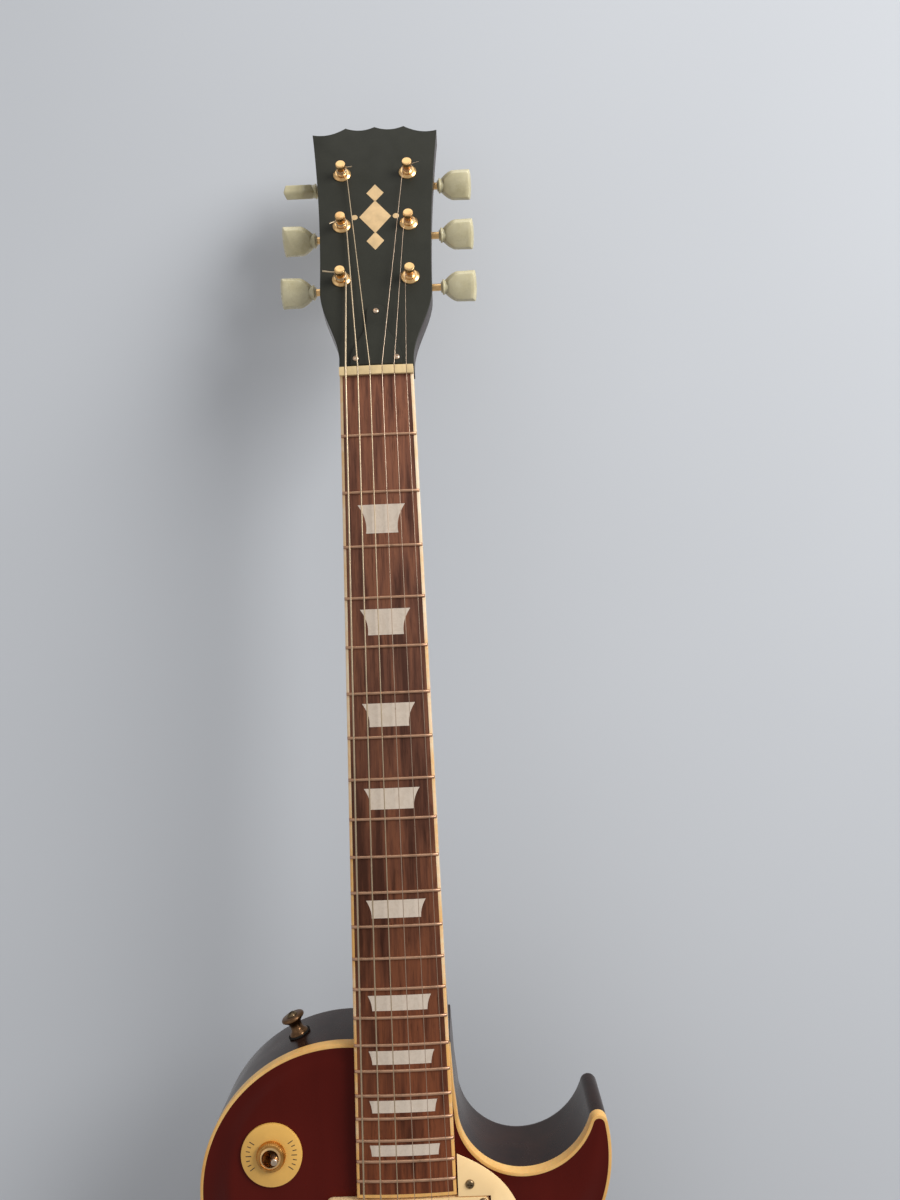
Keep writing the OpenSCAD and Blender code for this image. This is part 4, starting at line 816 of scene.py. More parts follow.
def timber(tree, streaks, run):
    """Outputs of the wood's grain: Figure and Pores."""
    inputs = {"Streaks": streaks, "Run": run}
    return put(tree, "ShaderNodeGroup", inputs, node_tree=bpy.data.node_groups["Timber"]).outputs


# Finishes


def paint(name):
    return tuple(getattr(bpy.context.scene.guitar_colours, name))


def dimmed(light, share):
    return tuple(c * share for c in light)


def wine_lacquer():
    lacquer = {"Coat_Weight": 0.06, "Coat_Roughness": 0.25, "Specular_IOR_Level": 0.06}
    tree, shader = material("wine_lacquer", paint("top_wine"), **lacquer)
    drift = noise(tree, object_at(tree), 7.0, 3)
    depth = weighted(tree, timber(tree, 120, 5)["Figure"], 0.4, drift)
    tone = ramp(tree, depth, [(0.45, paint("top_deep")), (0.95, paint("top_wine"))])
    tree.links.new(tone, shader.inputs["Base Color"])
    handled(tree, shader, 24, 0.24, 0.38, 0.02)


def dark_lacquer():
    lacquer = {"Coat_Weight": 0.08, "Coat_Roughness": 0.15, "Specular_IOR_Level": 0.3}
    tree, shader = material("dark_lacquer", paint("back_wine"), **lacquer)
    figure = timber(tree, 150, 5)["Figure"]
    tone = ramp(tree, figure, [(0.35, paint("back_deep")), (0.65, paint("back_wine"))])
    tree.links.new(tone, shader.inputs["Base Color"])
    handled(tree, shader, 30, 0.2, 0.34, 0.03)


def aged_binding(name, fresh, aged_shade, low=0.0, high=0.0):
    """Yellowed plastic, the more so towards the body between two heights in metres."""
    tree, shader = material(name, paint(fresh), Subsurface_Weight=0.08, Subsurface_Scale=0.002)
    aged = noise(tree, object_at(tree), 28.0, 4, 0.6)
    fine = noise(tree, object_at(tree), 400.0, 2)
    spots = weighted(tree, fine, 0.2, aged)
    if low < high:
        fall = span(tree, height_of(tree), 0.3, 0, low, high)
        spots = put(tree, "ShaderNodeMath", {0: spots, 1: fall}, operation="ADD").outputs[0]
    tone = ramp(tree, spots, [(0.42, paint(fresh)), (0.85, paint(aged_shade))])
    tree.links.new(tone, shader.inputs["Base Color"])
    handled(tree, shader, 45, 0.28, 0.42, 0.05)


def head_satin():
    tree, shader = material("head_satin", paint("head_black"), Specular_IOR_Level=0.1)
    cloud = noise(tree, object_at(tree), 40.0, 4, 0.6)
    grain = noise(tree, stretched(tree, object_at(tree), (1400, 1400, 60)), 1.0, 3)
    stops = [(0.4, dimmed(paint("head_black"), 0.72)), (0.9, paint("head_black"))]
    tone = ramp(tree, weighted(tree, grain, 0.35, cloud), stops)
    tree.links.new(tone, shader.inputs["Base Color"])
    handled(tree, shader, 60, 0.42, 0.58, 0.06)


def plain_plastic(name, base, deep, low, high, scale=50.0, **constants):
    """Moulded plastic with a slow drift of colour and fine scratches."""
    tree, shader = material(name, base, **constants)
    drift = noise(tree, object_at(tree), scale, 4, 0.6)
    tree.links.new(ramp(tree, drift, [(0.35, deep), (0.65, base)]), shader.inputs["Base Color"])
    handled(tree, shader, scale * 1.5, low, high, 0.05)


def metal(name, base, worn, low, high, wear=(0.5, 0.78)):
    """Plated metal, worn and dulled in places, with fine scratches."""
    tree, shader = material(name, base, Metallic=1.0)
    patch = noise(tree, object_at(tree), 160.0, 5, 0.65)
    tree.links.new(ramp(tree, patch, [(wear[0], base), (wear[1], worn)]), shader.inputs["Base Color"])
    handled(tree, shader, 220, low, high, 0.08)
    return tree, shader


def rosewood():
    """Streaked wood with dark lines and pores, and painted shade that darkens it towards the body."""
    tree, shader = material("rosewood", paint("rose_mid"), Specular_IOR_Level=0.04)
    wood = timber(tree, 270, 7)
    stops = [(0.4, paint("rose_dark")), (0.47, paint("rose_mid")), (0.52, paint("rose_light"))]
    stops += [(0.57, paint("rose_mid")), (0.64, paint("rose_dark"))]
    streaks = ramp(tree, wood["Figure"], stops)
    deep = dimmed(paint("rose_dark"), 0.45)
    lines = noise(tree, stretched(tree, object_at(tree), (520, 520, 9)), 1.0, 4, 0.7)
    lined = blend(tree, streaks, deep, span(tree, lines, 0, 0.5, 0.55, 0.68))
    tone = blend(tree, lined, deep, span(tree, wood["Pores"], 0, 0.3))
    # painted shade: a ramp over height darkens and warms the board from the nut down to the body, where the
    # light falls off
    painted_shade_stops = [(0.0, (0.8, 0.58, 0.42)), (0.35, (0.68, 0.6, 0.52))]
    painted_shade_stops += [(0.62, (0.76, 0.77, 0.76)), (0.95, (1, 1, 1))]
    drift = ramp(tree, span(tree, height_of(tree), 0, 1, -0.48, 0), painted_shade_stops)
    tree.links.new(blend(tree, tone, drift, 1.0, "MULTIPLY"), shader.inputs["Base Color"])
    handled(tree, shader, 60, 0.5, 0.7)
    emboss(tree, shader, wood["Pores"], -0.35)


def pearl():
    lustre = {"Coat_Weight": 0.1, "Coat_Roughness": 0.15, "Specular_IOR_Level": 0.2}
    tree, shader = material("pearl", paint("pearl"), **lustre)
    swirl = noise(tree, object_at(tree), 150.0, 4, 0.6, warp=1.6)
    stops = [(0.38, paint("pearl_shade")), (0.5, paint("pearl")), (0.62, paint("pearl_shade"))]
    tree.links.new(ramp(tree, swirl, stops), shader.inputs["Base Color"])
    handled(tree, shader, 90, 0.26, 0.4, 0.04)


def wrapped_wire():
    """Round wrap wire wound on a core, as fine bands along the string."""
    bronze = paint("bronze")
    tree, shader = metal("wound_wire", bronze, dimmed(bronze, 0.85), 0.36, 0.5)
    inputs = {"Vector": object_at(tree), "Scale": 640.0, "Distortion": 0.0}
    bands = put(tree, "ShaderNodeTexWave", inputs, bands_direction="Z").outputs["Fac"]
    emboss(tree, shader, bands, 0.1, 0.0001)


def key_pearl():
    glow = {"Subsurface_Weight": 0.15, "Subsurface_Scale": 0.004, "Subsurface_Radius": (1.0, 0.9, 0.6)}
    plain_plastic("key_pearl", paint("key"), paint("key_deep"), 0.2, 0.34, 90.0, **glow)


def amber_knob():
    amber = paint("amber")
    shine = {"Coat_Weight": 0.6, "Coat_Roughness": 0.05}
    plain_plastic("amber_knob", amber, dimmed(amber, 0.5), 0.1, 0.2, 60.0, **shine)


def felt():
    # black felt, kept dark enough to stand in for the shadow at the base of a strap button: a real washer and
    # painted shadow
    tree, shader = material("felt", (0.02, 0.018, 0.016), Specular_IOR_Level=0.1)
    fibre = noise(tree, object_at(tree), 2400.0, 4, 0.7)
    dark, pale = (0.008, 0.007, 0.006), (0.035, 0.03, 0.027)
    tree.links.new(ramp(tree, fibre, [(0.3, dark), (0.7, pale)]), shader.inputs["Base Color"])
    tree.links.new(span(tree, fibre, 0.8, 1.0), shader.inputs["Roughness"])
    emboss(tree, shader, fibre, 0.4)


class GUITAR_OT_finishes(bpy.types.Operator):
    """Materials of all the pieces"""

    bl_idname = "guitar.finishes"
    bl_label = "Finishes"

    def execute(self, context):
        handling_group()
        timber_group()
        self.woods()
        self.metals()
        self.plastics()
        felt()
        return {"FINISHED"}

    def woods(self):
        """Lacquered and bare wood, the strips along its edges, and the inlays."""
        wine_lacquer()
        dark_lacquer()
        rosewood()
        head_satin()
        aged_binding("amber_binding", "binding", "binding_aged")
        aged_binding("board_binding", "edge", "edge_aged", -0.46, -0.2)
        pearl()

    def metals(self):
        metal("gold", paint("gold"), paint("gold_worn"), 0.2, 0.36)
        for name, tint, worn, low, high, wear in (
            ("gold_old", "gold_old", 0.5, 0.22, 0.38, (0.42, 0.7)),
            ("screw_metal", "screw", 0.45, 0.24, 0.4, (0.4, 0.7)),
            ("strap_bronze", "strap", 0.45, 0.24, 0.4, (0.4, 0.7)),
            ("fret_wire", "fret", 0.6, 0.38, 0.52, (0.5, 0.78)),
            ("steel_wire", "nickel", 0.7, 0.26, 0.4, (0.5, 0.78)),
        ):
            metal(name, paint(tint), dimmed(paint(tint), worn), low, high, wear)
        wrapped_wire()

    def plastics(self):
        for name, tint, deep, low, high, scale in (
            ("black_plastic", "black_plastic", 0.5, 0.28, 0.42, 50.0),
            ("bone", "bone", 0.8, 0.35, 0.5, 120.0),
            ("chip_plastic", "chip", 0.86, 0.24, 0.38, 40.0),
        ):
            plain_plastic(name, paint(tint), dimmed(paint(tint), deep), low, high, scale)
        dull = {"Specular_IOR_Level": 0.3}
        leaf = paint("leaf")
        plain_plastic("gold_leaf", leaf, dimmed(leaf, 0.82), 0.4, 0.55, 140.0, **dull)
        plain_plastic("cream_plastic", paint("cream"), paint("cream_deep"), 0.2, 0.34, 18.0, **dull)
        plain_plastic("coil", (0.03, 0.025, 0.02), (0.015, 0.012, 0.01), 0.5, 0.7, 200.0)
        plain_plastic("dark_print", (0.03, 0.02, 0.015), (0.05, 0.035, 0.025), 0.4, 0.55, 300.0)
        key_pearl()
        amber_knob()


# Pieces


def outline_inset(points, d):
    """Counterclockwise outline moved inwards by d."""
    count = len(points)
    inset = []
    for i, p in enumerate(points):
        before = (p - points[i - 1]).normalized()
        after = (points[(i + 1) % count] - p).normalized()
        n1 = Vector((-before[1], before[0]))
        n2 = Vector((-after[1], after[0]))
        middle = (n1 + n2).normalized()
        inset.append(p + middle * (d / max(0.4, middle.dot(n1))))
    return inset


def slab(name, points, y0, y1, front=0.0, back=0.0, steps=4):
    """Plate of a counterclockwise outline between two depths, with its front and back edges rounded."""
    points = [Vector(p) for p in points]
    rings = []
    for j in range(steps + 1 if back else 1):
        a = math.radians(90 * j / steps)
        line = outline_inset(points, back * (1 - math.sin(a))) if back else points
        rings.append([(p[0], y1 - back * (1 - math.cos(a)), p[1]) for p in line])
    for j in range(steps + 1 if front else 1):
        a = math.radians(90 * j / steps)
        line = outline_inset(points, front * (1 - math.cos(a))) if front else points
        rings.append([(p[0], y0 + front * (1 - math.sin(a)), p[1]) for p in line])
    return loft(name, rings)


def moved(obj, matrix):
    obj.data.transform(matrix)
    return obj


def copies(obj, places):
    """One copy of a piece at each place, in place of the piece itself."""
    twins = [copy(obj, obj.name, place) for place in places]
    bpy.data.objects.remove(obj)
    return twins


def round_box(w, h, r, n=8):
    """Rectangle with rounded corners."""
    points = []
    for q in range(4):
        c = Vector(((w / 2 - r) * (1 if q in (0, 3) else -1), (h / 2 - r) * (1 if q < 2 else -1)))
        points += [c + p for p in arc((0, 0), r, 90 * q, 90 * (q + 1), n)]
    return points


def round_poly(corners, r, n=10):
    """Outline at the distance r round a convex counterclockwise polygon."""
    points = []
    for i, p in enumerate(corners):
        a0 = heading(corners[i - 1], p) - 90
        a1 = heading(p, corners[(i + 1) % len(corners)]) - 90
        points += arc(p, r, a0, a0 + (a1 - a0) % 360, n)
    return points


def circle(r, n=64):
    return arc((0, 0), r, 0, 360, n)


class GUITAR_OT_body(bpy.types.Operator):
    """Carved top, back with its cavities, and binding"""

    bl_idname = "guitar.body"
    bl_label = "Body"

    def execute(self, context):
        g = Layout(context.scene)
        self.top(g)
        self.back(g)
        self.binding(g)
        return {"FINISHED"}

    def routs(self, g):
        """Cutters for both pickups and for their legs, in the frame of the body."""
        front, deep = -20, 24
        cutters = []
        for name, half_w, half_h in (("routs", 37, 20.6), ("leg_routs", 44, 8)):
            blocks = []
            for place in (g.neck_pickup, g.bridge_pickup):
                hole = block("rout", (-half_w, front, -half_h), (half_w, deep, half_h))
                blocks.append(moved(hole, g.body.inverted() @ place))
            cutters.append(join(name, *blocks))
        return cutters

    def top(self, g):
        """Rings that step inwards over the slope, and then close on the middle of the lower bout."""
        s = g.s
        rim = g.outline(s.bind_width)
        rings = [[(p[0], y, p[1]) for p in rim] for y in (s.cap_thick, 0)]
        tree = g.rim_tree()
        slope, slope_rings, inner_rings, closing = 90, 32, 9, 0.985
        centre = Vector(CARVE_CENTRE)
        inward = [(centre - p).normalized() * slope for p in rim]
        for k in range(1, slope_rings + inner_rings + 1):
            ring = []
            for p, step in zip(rim, inward):
                if k <= slope_rings:
                    q = p + step * k / slope_rings
                else:
                    q = (p + step).lerp(centre, (k - slope_rings) / inner_rings * closing)
                height = g.carve(g.from_rim(tree, q), g.carve_width(q), q[1])
                ring.append((q[0], -height, q[1]))
            rings.append(ring)
        top = loft("carved_top", rings)
        knob_r, switch_r = 4.8, 6
        holes = [moved(rod("hole", knob_r, -30, 10), move(p[0], 0, p[1])) for p in g.knobs]
        holes.append(moved(rod("hole", switch_r, -20, 30), g.body.inverted() @ g.switch))
        cut(top, *self.routs(g), join("holes", *holes))
        settle(top, g.body, "wine_lacquer", slot="top_finish", replaces=["body_top"])

    def back(self, g):
        """Wood behind the top with a rounded edge, and the hollows for the controls."""
        s = g.s
        r = min(s.back_round, s.tip_r - 0.3)
        rings = []
        for j in range(9):
            a = math.radians(90 * j / 8)
            line = g.outline(r * (1 - math.sin(a)))
            rings.append([(p[0], s.body_thick - r * (1 - math.cos(a)), p[1]) for p in line])
        rings.append([(p[0], s.cap_thick, p[1]) for p in g.outline(0)])
        back = loft("back_wood", rings)
        at = move(g.switch_p[0], 0, g.switch_p[1])
        wall, lip, past = 3, s.body_thick - COVER_THICK, s.body_thick + 1
        cavities = join(
            "cavities",
            plate("cavity", round_poly(g.cavity, CAVITY_R), wall, past),
            moved(rod("cavity", CAVITY_R, wall, past), at),
        )
        recesses = join(
            "recesses",
            plate("recess", round_poly(g.cavity, COVER_R), lip, past),
            moved(rod("recess", COVER_R, lip, past, 64), at),
        )
        jack_r, jack_depth = 9.5, 62
        jack = moved(rod("bore", jack_r, s.lower_r - jack_depth, s.lower_r + 8), turn(-90, "Z"))
        cut(back, *self.routs(g), cavities, recesses, moved(jack, g.body.inverted() @ g.jack))
        settle(back, g.body, "dark_lacquer", slot="back_finish", replaces=["body_back"])

    def binding(self, g):
        """Strip with a softened outer edge, left open under the fretboard."""
        s = g.s
        inner, soft, corner, kept = s.bind_width, 0.6, 0.18, 1.5
        section = [(inner, s.cap_thick), (0, s.cap_thick), (0, soft), (corner, corner), (soft, 0), (inner, 0)]
        lines = {d: g.outline(d) for d, _ in section}
        rings = [[(p[0], y, p[1]) for p in lines[d]] for d, y in section]
        strip = loft("binding_strip", rings, closed=True)
        half = g.edge_x - kept
        cut(strip, block("gap", (-half, -1, -6), (half, s.cap_thick + 1, 40)))
        settle(strip, g.body, "amber_binding", slot="binding", replaces=["body_binding"])


class GUITAR_OT_neck(bpy.types.Operator):
    """Neck with its heel and head, the black face and the cover of the truss rod"""

    bl_idname = "guitar.neck"
    bl_label = "Neck and head"

    round_power, heel_power, head_power = 0.88, 0.4, 0.3  # the lower, the squarer a section

    def execute(self, context):
        g = Layout(context.scene)
        self.wood(g)
        self.face(g)
        self.inlay(g)
        self.cover(g)
        return {"FINISHED"}

    def ring(self, half, depth, power, front, y0, z0, tilt=0):
        """Half-round section behind a flat front, leaned back by a tilt."""
        points = []
        t = math.radians(tilt)
        for i in range(41):
            a = math.radians(180 * i / 40)
            x = half * signed_pow(math.cos(a), power)
            y = front + depth * signed_pow(math.sin(a), power)
            points.append((x, y0 + y * math.cos(t), z0 - y * math.sin(t)))
        return points

    def section(self, g, at):
        """Section of the neck at a distance from the nut, which grows into the heel."""
        s = g.s
        past = at - g.join_at
        depth = mix(s.neck_depth, s.neck_depth_mid, at / g.fret_at(12))
        depth = mix(depth, s.heel_depth, ease(past, -54, -6))
        power = mix(self.round_power, self.heel_power, ease(past, -50, -4))
        return self.ring(g.board_half(at), depth, power, s.board_thick, 0, -at)

    def bend(self, g, k):
        """Section on the way from the neck into the head, at a share of that way."""
        s = g.s
        way = 36 * k
        a = math.radians(s.head_angle)
        back = mix(s.board_thick + s.neck_depth - s.head_drop, s.head_thick - 0.4, smooth(k))
        return self.ring(
            g.head_half_at(way) - 0.3,
            back - s.veneer_thick,
            mix(self.round_power, self.head_power, k),
            s.veneer_thick,
            s.head_drop + way * math.sin(a),
            s.nut_thick + way * math.cos(a),
            s.head_angle * smooth(k * 1.2),
        )

    def wood(self, g):
        s = g.s
        inside, heel_step = 8, 3
        steps = [g.join_at + inside - heel_step * i for i in range(25)]
        steps += [mix(steps[-1], 0, (i + 1) / 16) for i in range(16)]
        rings = [self.section(g, at) for at in steps]
        rings += [self.bend(g, 0.1 + 0.9 * k / 14) for k in range(15)]
        neck = loft("neck_wood", rings)
        to_neck = g.neck.inverted() @ g.head
        head = slab("head_wood", g.head_points(), s.veneer_thick, s.head_thick, back=1.4)
        cut(neck, moved(head, to_neck), operation="UNION")
        wide, over = s.nut_width, -20
        nut_seat = block("seat", (-wide, over, 0), (wide, s.board_thick, s.nut_thick))
        shelf = block("seat", (-wide, over, -20), (wide, s.veneer_thick, 8))
        cut(neck, nut_seat, moved(shelf, to_neck), moved(self.bores(g), to_neck))
        settle(neck, g.neck, "dark_lacquer", slot="back_finish", replaces=["neck"])

    def bores(self, g):
        """Cutter for the holes of the posts."""
        bore_r, front, past = 4.4, -1, 19
        places = [move(p[0], 0, p[1]) for p in g.posts]
        return join("bores", *copies(rod("bore", bore_r, front, past), places))

    def face(self, g):
        s = g.s
        face = slab("head_face", g.head_points(), 0, s.veneer_thick, front=0.35)
        nut = block("seat", (-s.nut_width, -20, -5), (s.nut_width, s.board_thick, s.nut_thick))
        cut(face, moved(nut, g.head.inverted() @ g.neck), self.bores(g))
        settle(face, g.head, "head_satin", slot="black_plastic", replaces=["head_veneer"])

    def inlay(self, g):
        """Three lozenges in a column, with a dot on both sides."""
        centre, pitch, dot_x, dot_r = 112, 19, 13, 2
        small, large = (5.5, 7), (10, 13)
        shapes = []
        for k in (-1, 0, 1):
            w, h = small if k else large
            c = centre + k * pitch
            shapes.append([(0, c - h), (w, c), (0, c + h), (-w, c)])
        for k in (-1, 1):
            shapes.append([p + Vector((k * dot_x, centre)) for p in circle(dot_r, 32)])
        proud, deep = 0.06, 0.5
        pieces = [slab("inlay", points, -proud, deep, front=0.04) for points in shapes]
        settle(join("head_inlay_gold", *pieces), g.head, "gold_leaf", slot="gold", replaces=["head_inlay"])

    def cover(self, g):
        """Bell-shaped cover with a round top."""
        foot, top, top_r, flare = 1.2, 38, 5.8, 9.3
        side = []
        for i in range(25):
            v = mix(foot, top - 2, i / 24)
            side.append(Vector((5.9 + flare * (1 - ease(v, 6, 31)), v)))
        bell = side + arc((0, top), top_r, 0, 180, 20) + [Vector((-p[0], p[1])) for p in reversed(side)]
        cover = slab("truss_bell", bell, -2, 0, front=0.5)
        settle(cover, g.head, "head_satin", slot="black_plastic", replaces=["truss_cover"])


class GUITAR_OT_fretboard(bpy.types.Operator):
    """Crowned fretboard with its binding, inlays, frets and nut"""

    bl_idname = "guitar.fretboard"
    bl_label = "Fretboard"

    strip = 1.7  # width of the binding

    def execute(self, context):
        g = Layout(context.scene)
        end = g.board_end - self.strip
        board = self.crowned(g, "board", [(0, self.strip), (end, self.strip)], g.s.board_thick)
        settle(board, g.neck, "rosewood", slot="rosewood", replaces=["fretboard"])
        self.edges(g)
        inlays = [self.inlay(g, n) for n in INLAY_FRETS]
        settle(join("inlay_pearl", *inlays), g.neck, "pearl", slot="pearl", replaces=["board_inlays"])
        frets = [self.fret(g, n) for n in range(1, FRETS + 1)]
        settle(join("fret_wires", *frets), g.neck, "fret_wire", slot="fret_wire", replaces=["frets"])
        finish(dressed("nut", 0.35), "bone", slot="bone", replaces=["nut"])
        return {"FINISHED"}

    def crowned(self, g, name, stations, depth, proud=0.0):
        """Strip with the crown of the board on top, from stations of place and inset from the edge."""
        rings = []
        for at, inset in stations:
            half = g.board_half(at) - inset
            xs = [mix(half, -half, i / 24) for i in range(25)]
            ring = [(x, g.crown(x) - proud, -at) for x in xs]
            rings.append(ring + [(-half, depth, -at), (half, depth, -at)])
        return loft(name, rings)

    def edges(self, g):
        """Binding along both sides and across the end, with a rounded outer edge."""
        s = g.s
        strips = []
        for side in (-1, 1):
            rings = []
            for at in (0, g.board_end):
                half, soft, corner = g.board_half(at), 0.7, 0.2
                rim = [(half, soft), (half - corner, corner), (half - soft, 0)]
                ring = [(side * x, g.crown(x) + y, -at) for x, y in rim]
                inner = half - self.strip
                ring.append((side * inner, g.crown(inner), -at))
                ring += [(side * inner, s.board_thick, -at), (side * half, s.board_thick, -at)]
                rings.append(ring)
            strips.append(loft("edge", rings))
        stations = [(g.board_end - self.strip, self.strip), (g.board_end, self.strip)]
        strips.append(self.crowned(g, "edge", stations, s.board_thick))
        edge = join("board_edge", *strips)
        settle(edge, g.neck, "board_binding", slot="binding", replaces=["board_binding"])

    def inlay(self, g, n):
        """Trapezoid with hollow sides, wider towards the nut, set level with the crown."""
        near, far = g.fret_at(n - 1), g.fret_at(n)
        mid = (near + far) / 2
        tall = 0.53 * (far - near) / 2
        w = g.board_half(mid)
        wide, narrow = w * (0.585 + 0.006 * n), w * (0.366 + 0.0147 * n)
        hollow = mix(0.46, 0.14, n / FRETS) * (wide - narrow)
        stations = []
        for i in range(13):
            k = i / 12
            at = mix(mid + tall, mid - tall, k)
            half = mix(narrow, wide, k) - 4 * hollow * k * (1 - k)
            stations.append((at, g.board_half(at) - half))
        return self.crowned(g, "inlay", stations, depth=2.2, proud=0.03)

    def fret(self, g, n):
        """Half-round wire bent over the crown, with sloped ends."""
        s = g.s
        at = g.fret_at(n)
        half = g.board_half(at) - 0.1
        tang = 0.6
        ends = [(half - inset, tall) for inset, tall in ((0, 0.25), (0.25, 0.7), (0.7, 1))]
        last = ends[-1][0]
        middle = [(mix(last, -last, i / 12), 1) for i in range(1, 12)]
        rings = []
        for x, tall in ends + middle + [(-x, tall) for x, tall in reversed(ends)]:
            ring = []
            for j in range(13):
                a = math.radians(180 * j / 12 - 90)
                up = s.fret_height * tall * abs(math.cos(a)) ** 0.7
                ring.append((x, g.crown(x) - up, -at + s.fret_width / 2 * math.sin(a)))
            ring.append((x, g.crown(x) + tang, -at))
            rings.append(ring)
        return loft("fret", rings)


def tube(name, path, r, sides=10):
    """Round wire along a path."""
    aside = Vector((0.0137, -0.956, 0.293))  # runs along no part of a path
    turns = [math.tau * k / sides for k in range(sides)]
    rings = []
    for i, p in enumerate(path):
        d = (path[min(i + 1, len(path) - 1)] - path[max(i - 1, 0)]).normalized()
        e1 = d.cross(aside).normalized()
        e2 = d.cross(e1)
        rings.append([p + r * (math.cos(a) * e1 + math.sin(a) * e2) for a in turns])
    return loft(name, rings)


class GUITAR_OT_tuners(bpy.types.Operator):
    """Tuner housings, bushings, posts with the cut string ends, and keys"""

    bl_idname = "guitar.tuners"
    bl_label = "Tuners"

    ends = ((-10.5, 0.6), (-6.5, -4.5), (7.2, -0.8), (7.6, 0.8), (4.6, -4.4), (-3.2, -5.6))

    def execute(self, context):
        g = Layout(context.scene)
        finish(dressed("tuner_housings", 0.5), "gold", slot="gold", replaces=["tuner_housings"])
        places = [move(p[0], 0, p[1]) for p in g.posts]
        bushings = join("bushings", *copies(self.bushing(), places))
        settle(bushings, g.head, "gold", slot="gold", replaces=["tuner_bushings"])
        post, button, shaft = self.post(), self.button(), self.shaft()
        for i, place in enumerate(places):
            number = STRINGS - i
            body = f"post_{number}"
            turned = copy(post, f"post_{number}_turned", place)
            settle(turned, g.head, "gold", body, "gold", [f"tuner_post_{number}"])
            wire, slot = ("wound_wire", "bronze_wire") if i < BASS else ("steel_wire", "steel_wire")
            settle(self.string_end(i), g.head @ place, wire, body, slot)
            outwards = turn(180 if i < BASS else 0, "Z")
            at = place @ move(0, 20, 7.5) @ outwards @ turn(KEY_TURN[i], "X")
            body = f"key_{number}"
            keyed = copy(button, f"key_{number}_button", at)
            settle(keyed, g.head, "key_pearl", body, "key_plastic", [f"tuner_key_{number}"])
            settle(copy(shaft, f"key_{number}_shaft", at), g.head, "gold", body, "gold")
        for obj in (post, button, shaft):
            bpy.data.objects.remove(obj)
        return {"FINISHED"}

    def bushing(self):
        bore = 3.05
        profile = [(bore, -8), (4.4, -8), (4.4, 0), (5.7, 0), (5.7, 0.45), (5.5, 0.75), (4.9, 1)]
        profile += [(4.6, 1.4), (4.3, 1.6), (bore, 1.6)]
        return spun("bushing", profile)

    def post(self):
        """Post with its gear at the foot and a waist that holds the winding."""
        foot, top = 20, 9
        profile = [(0, -foot - 2), (4.5, -foot - 2), (4.5, 2 - foot), (3, 2 - foot), (3, 1.7), (2.4, 2.2)]
        profile += [(2.4, top - 3), (2.55, top - 2.7), (3.1, top - 2.2), (3.1, top - 0.4), (3, top - 0.15)]
        profile += [(2.75, top - 0.02), (1.2, top), (0, top)]
        return spun("post", profile)

    def string_end(self, i):
        """Short cut end of a string that leaves the post above its winding."""
        x, z = self.ends[i]
        high, rise, least = -6.45, 0.8, 0.2
        path = [Vector((0, high, 0)), Vector((x * 0.5, high, z * 0.5)), Vector((x, high - rise, z))]
        return tube(f"string_end_{STRINGS - i}", path, max(STRING_R[i], least))

    def button(self):
        """Button with a flared outline and rounded faces, on its collar."""
        long, narrow, wide, straight, rounded = 20, 4.1, 9.3, 0.94, 0.06
        side = []
        for i in range(25):
            k = i / 24
            flare = 0.93 * (1 - (1 - min(1, k / 0.42)) ** 1.6) + 0.07 * k
            side.append(Vector((long * straight * k, mix(narrow, wide, flare))))
        turns = [math.radians(mix(-90, 90, i / 12)) for i in range(1, 12)]
        tip = [Vector((long * (straight + rounded * math.cos(a)), wide * math.sin(a))) for a in turns]
        outline = [Vector((p[0], -p[1])) for p in side] + tip + list(reversed(side))
        middle = 11
        rings = []
        for y, k in ((4.3, 0.8), (4.15, 0.825), (3.8, 0.85), (1.1, 0.975), (0.5, 0.995), (0, 1)):
            rings.append([(middle + (p[0] - middle) * k, y, p[1] * k) for p in outline])
        rings += [[(x, -y, z) for x, y, z in ring] for ring in reversed(rings[:-1])]
        button = moved(loft("button", rings), move(21, 0, 0))
        neck = [(0, 18.4), (3.1, 18.4), (3.4, 18.7), (3.4, 19.3), (4.4, 19.4), (4.7, 19.7), (4.7, 20.4)]
        neck += [(4.3, 20.7), (4.1, 21.2), (4.1, 23), (0, 23)]
        return join("button", button, moved(spun("collar", neck), turn(90, "Z")))

    def shaft(self):
        profile = [(0, -5.3), (2.6, -5.3), (2.6, 5.3), (2.2, 5.3), (2.2, 19), (0, 19)]
        return moved(spun("shaft", profile), turn(90, "Z"))


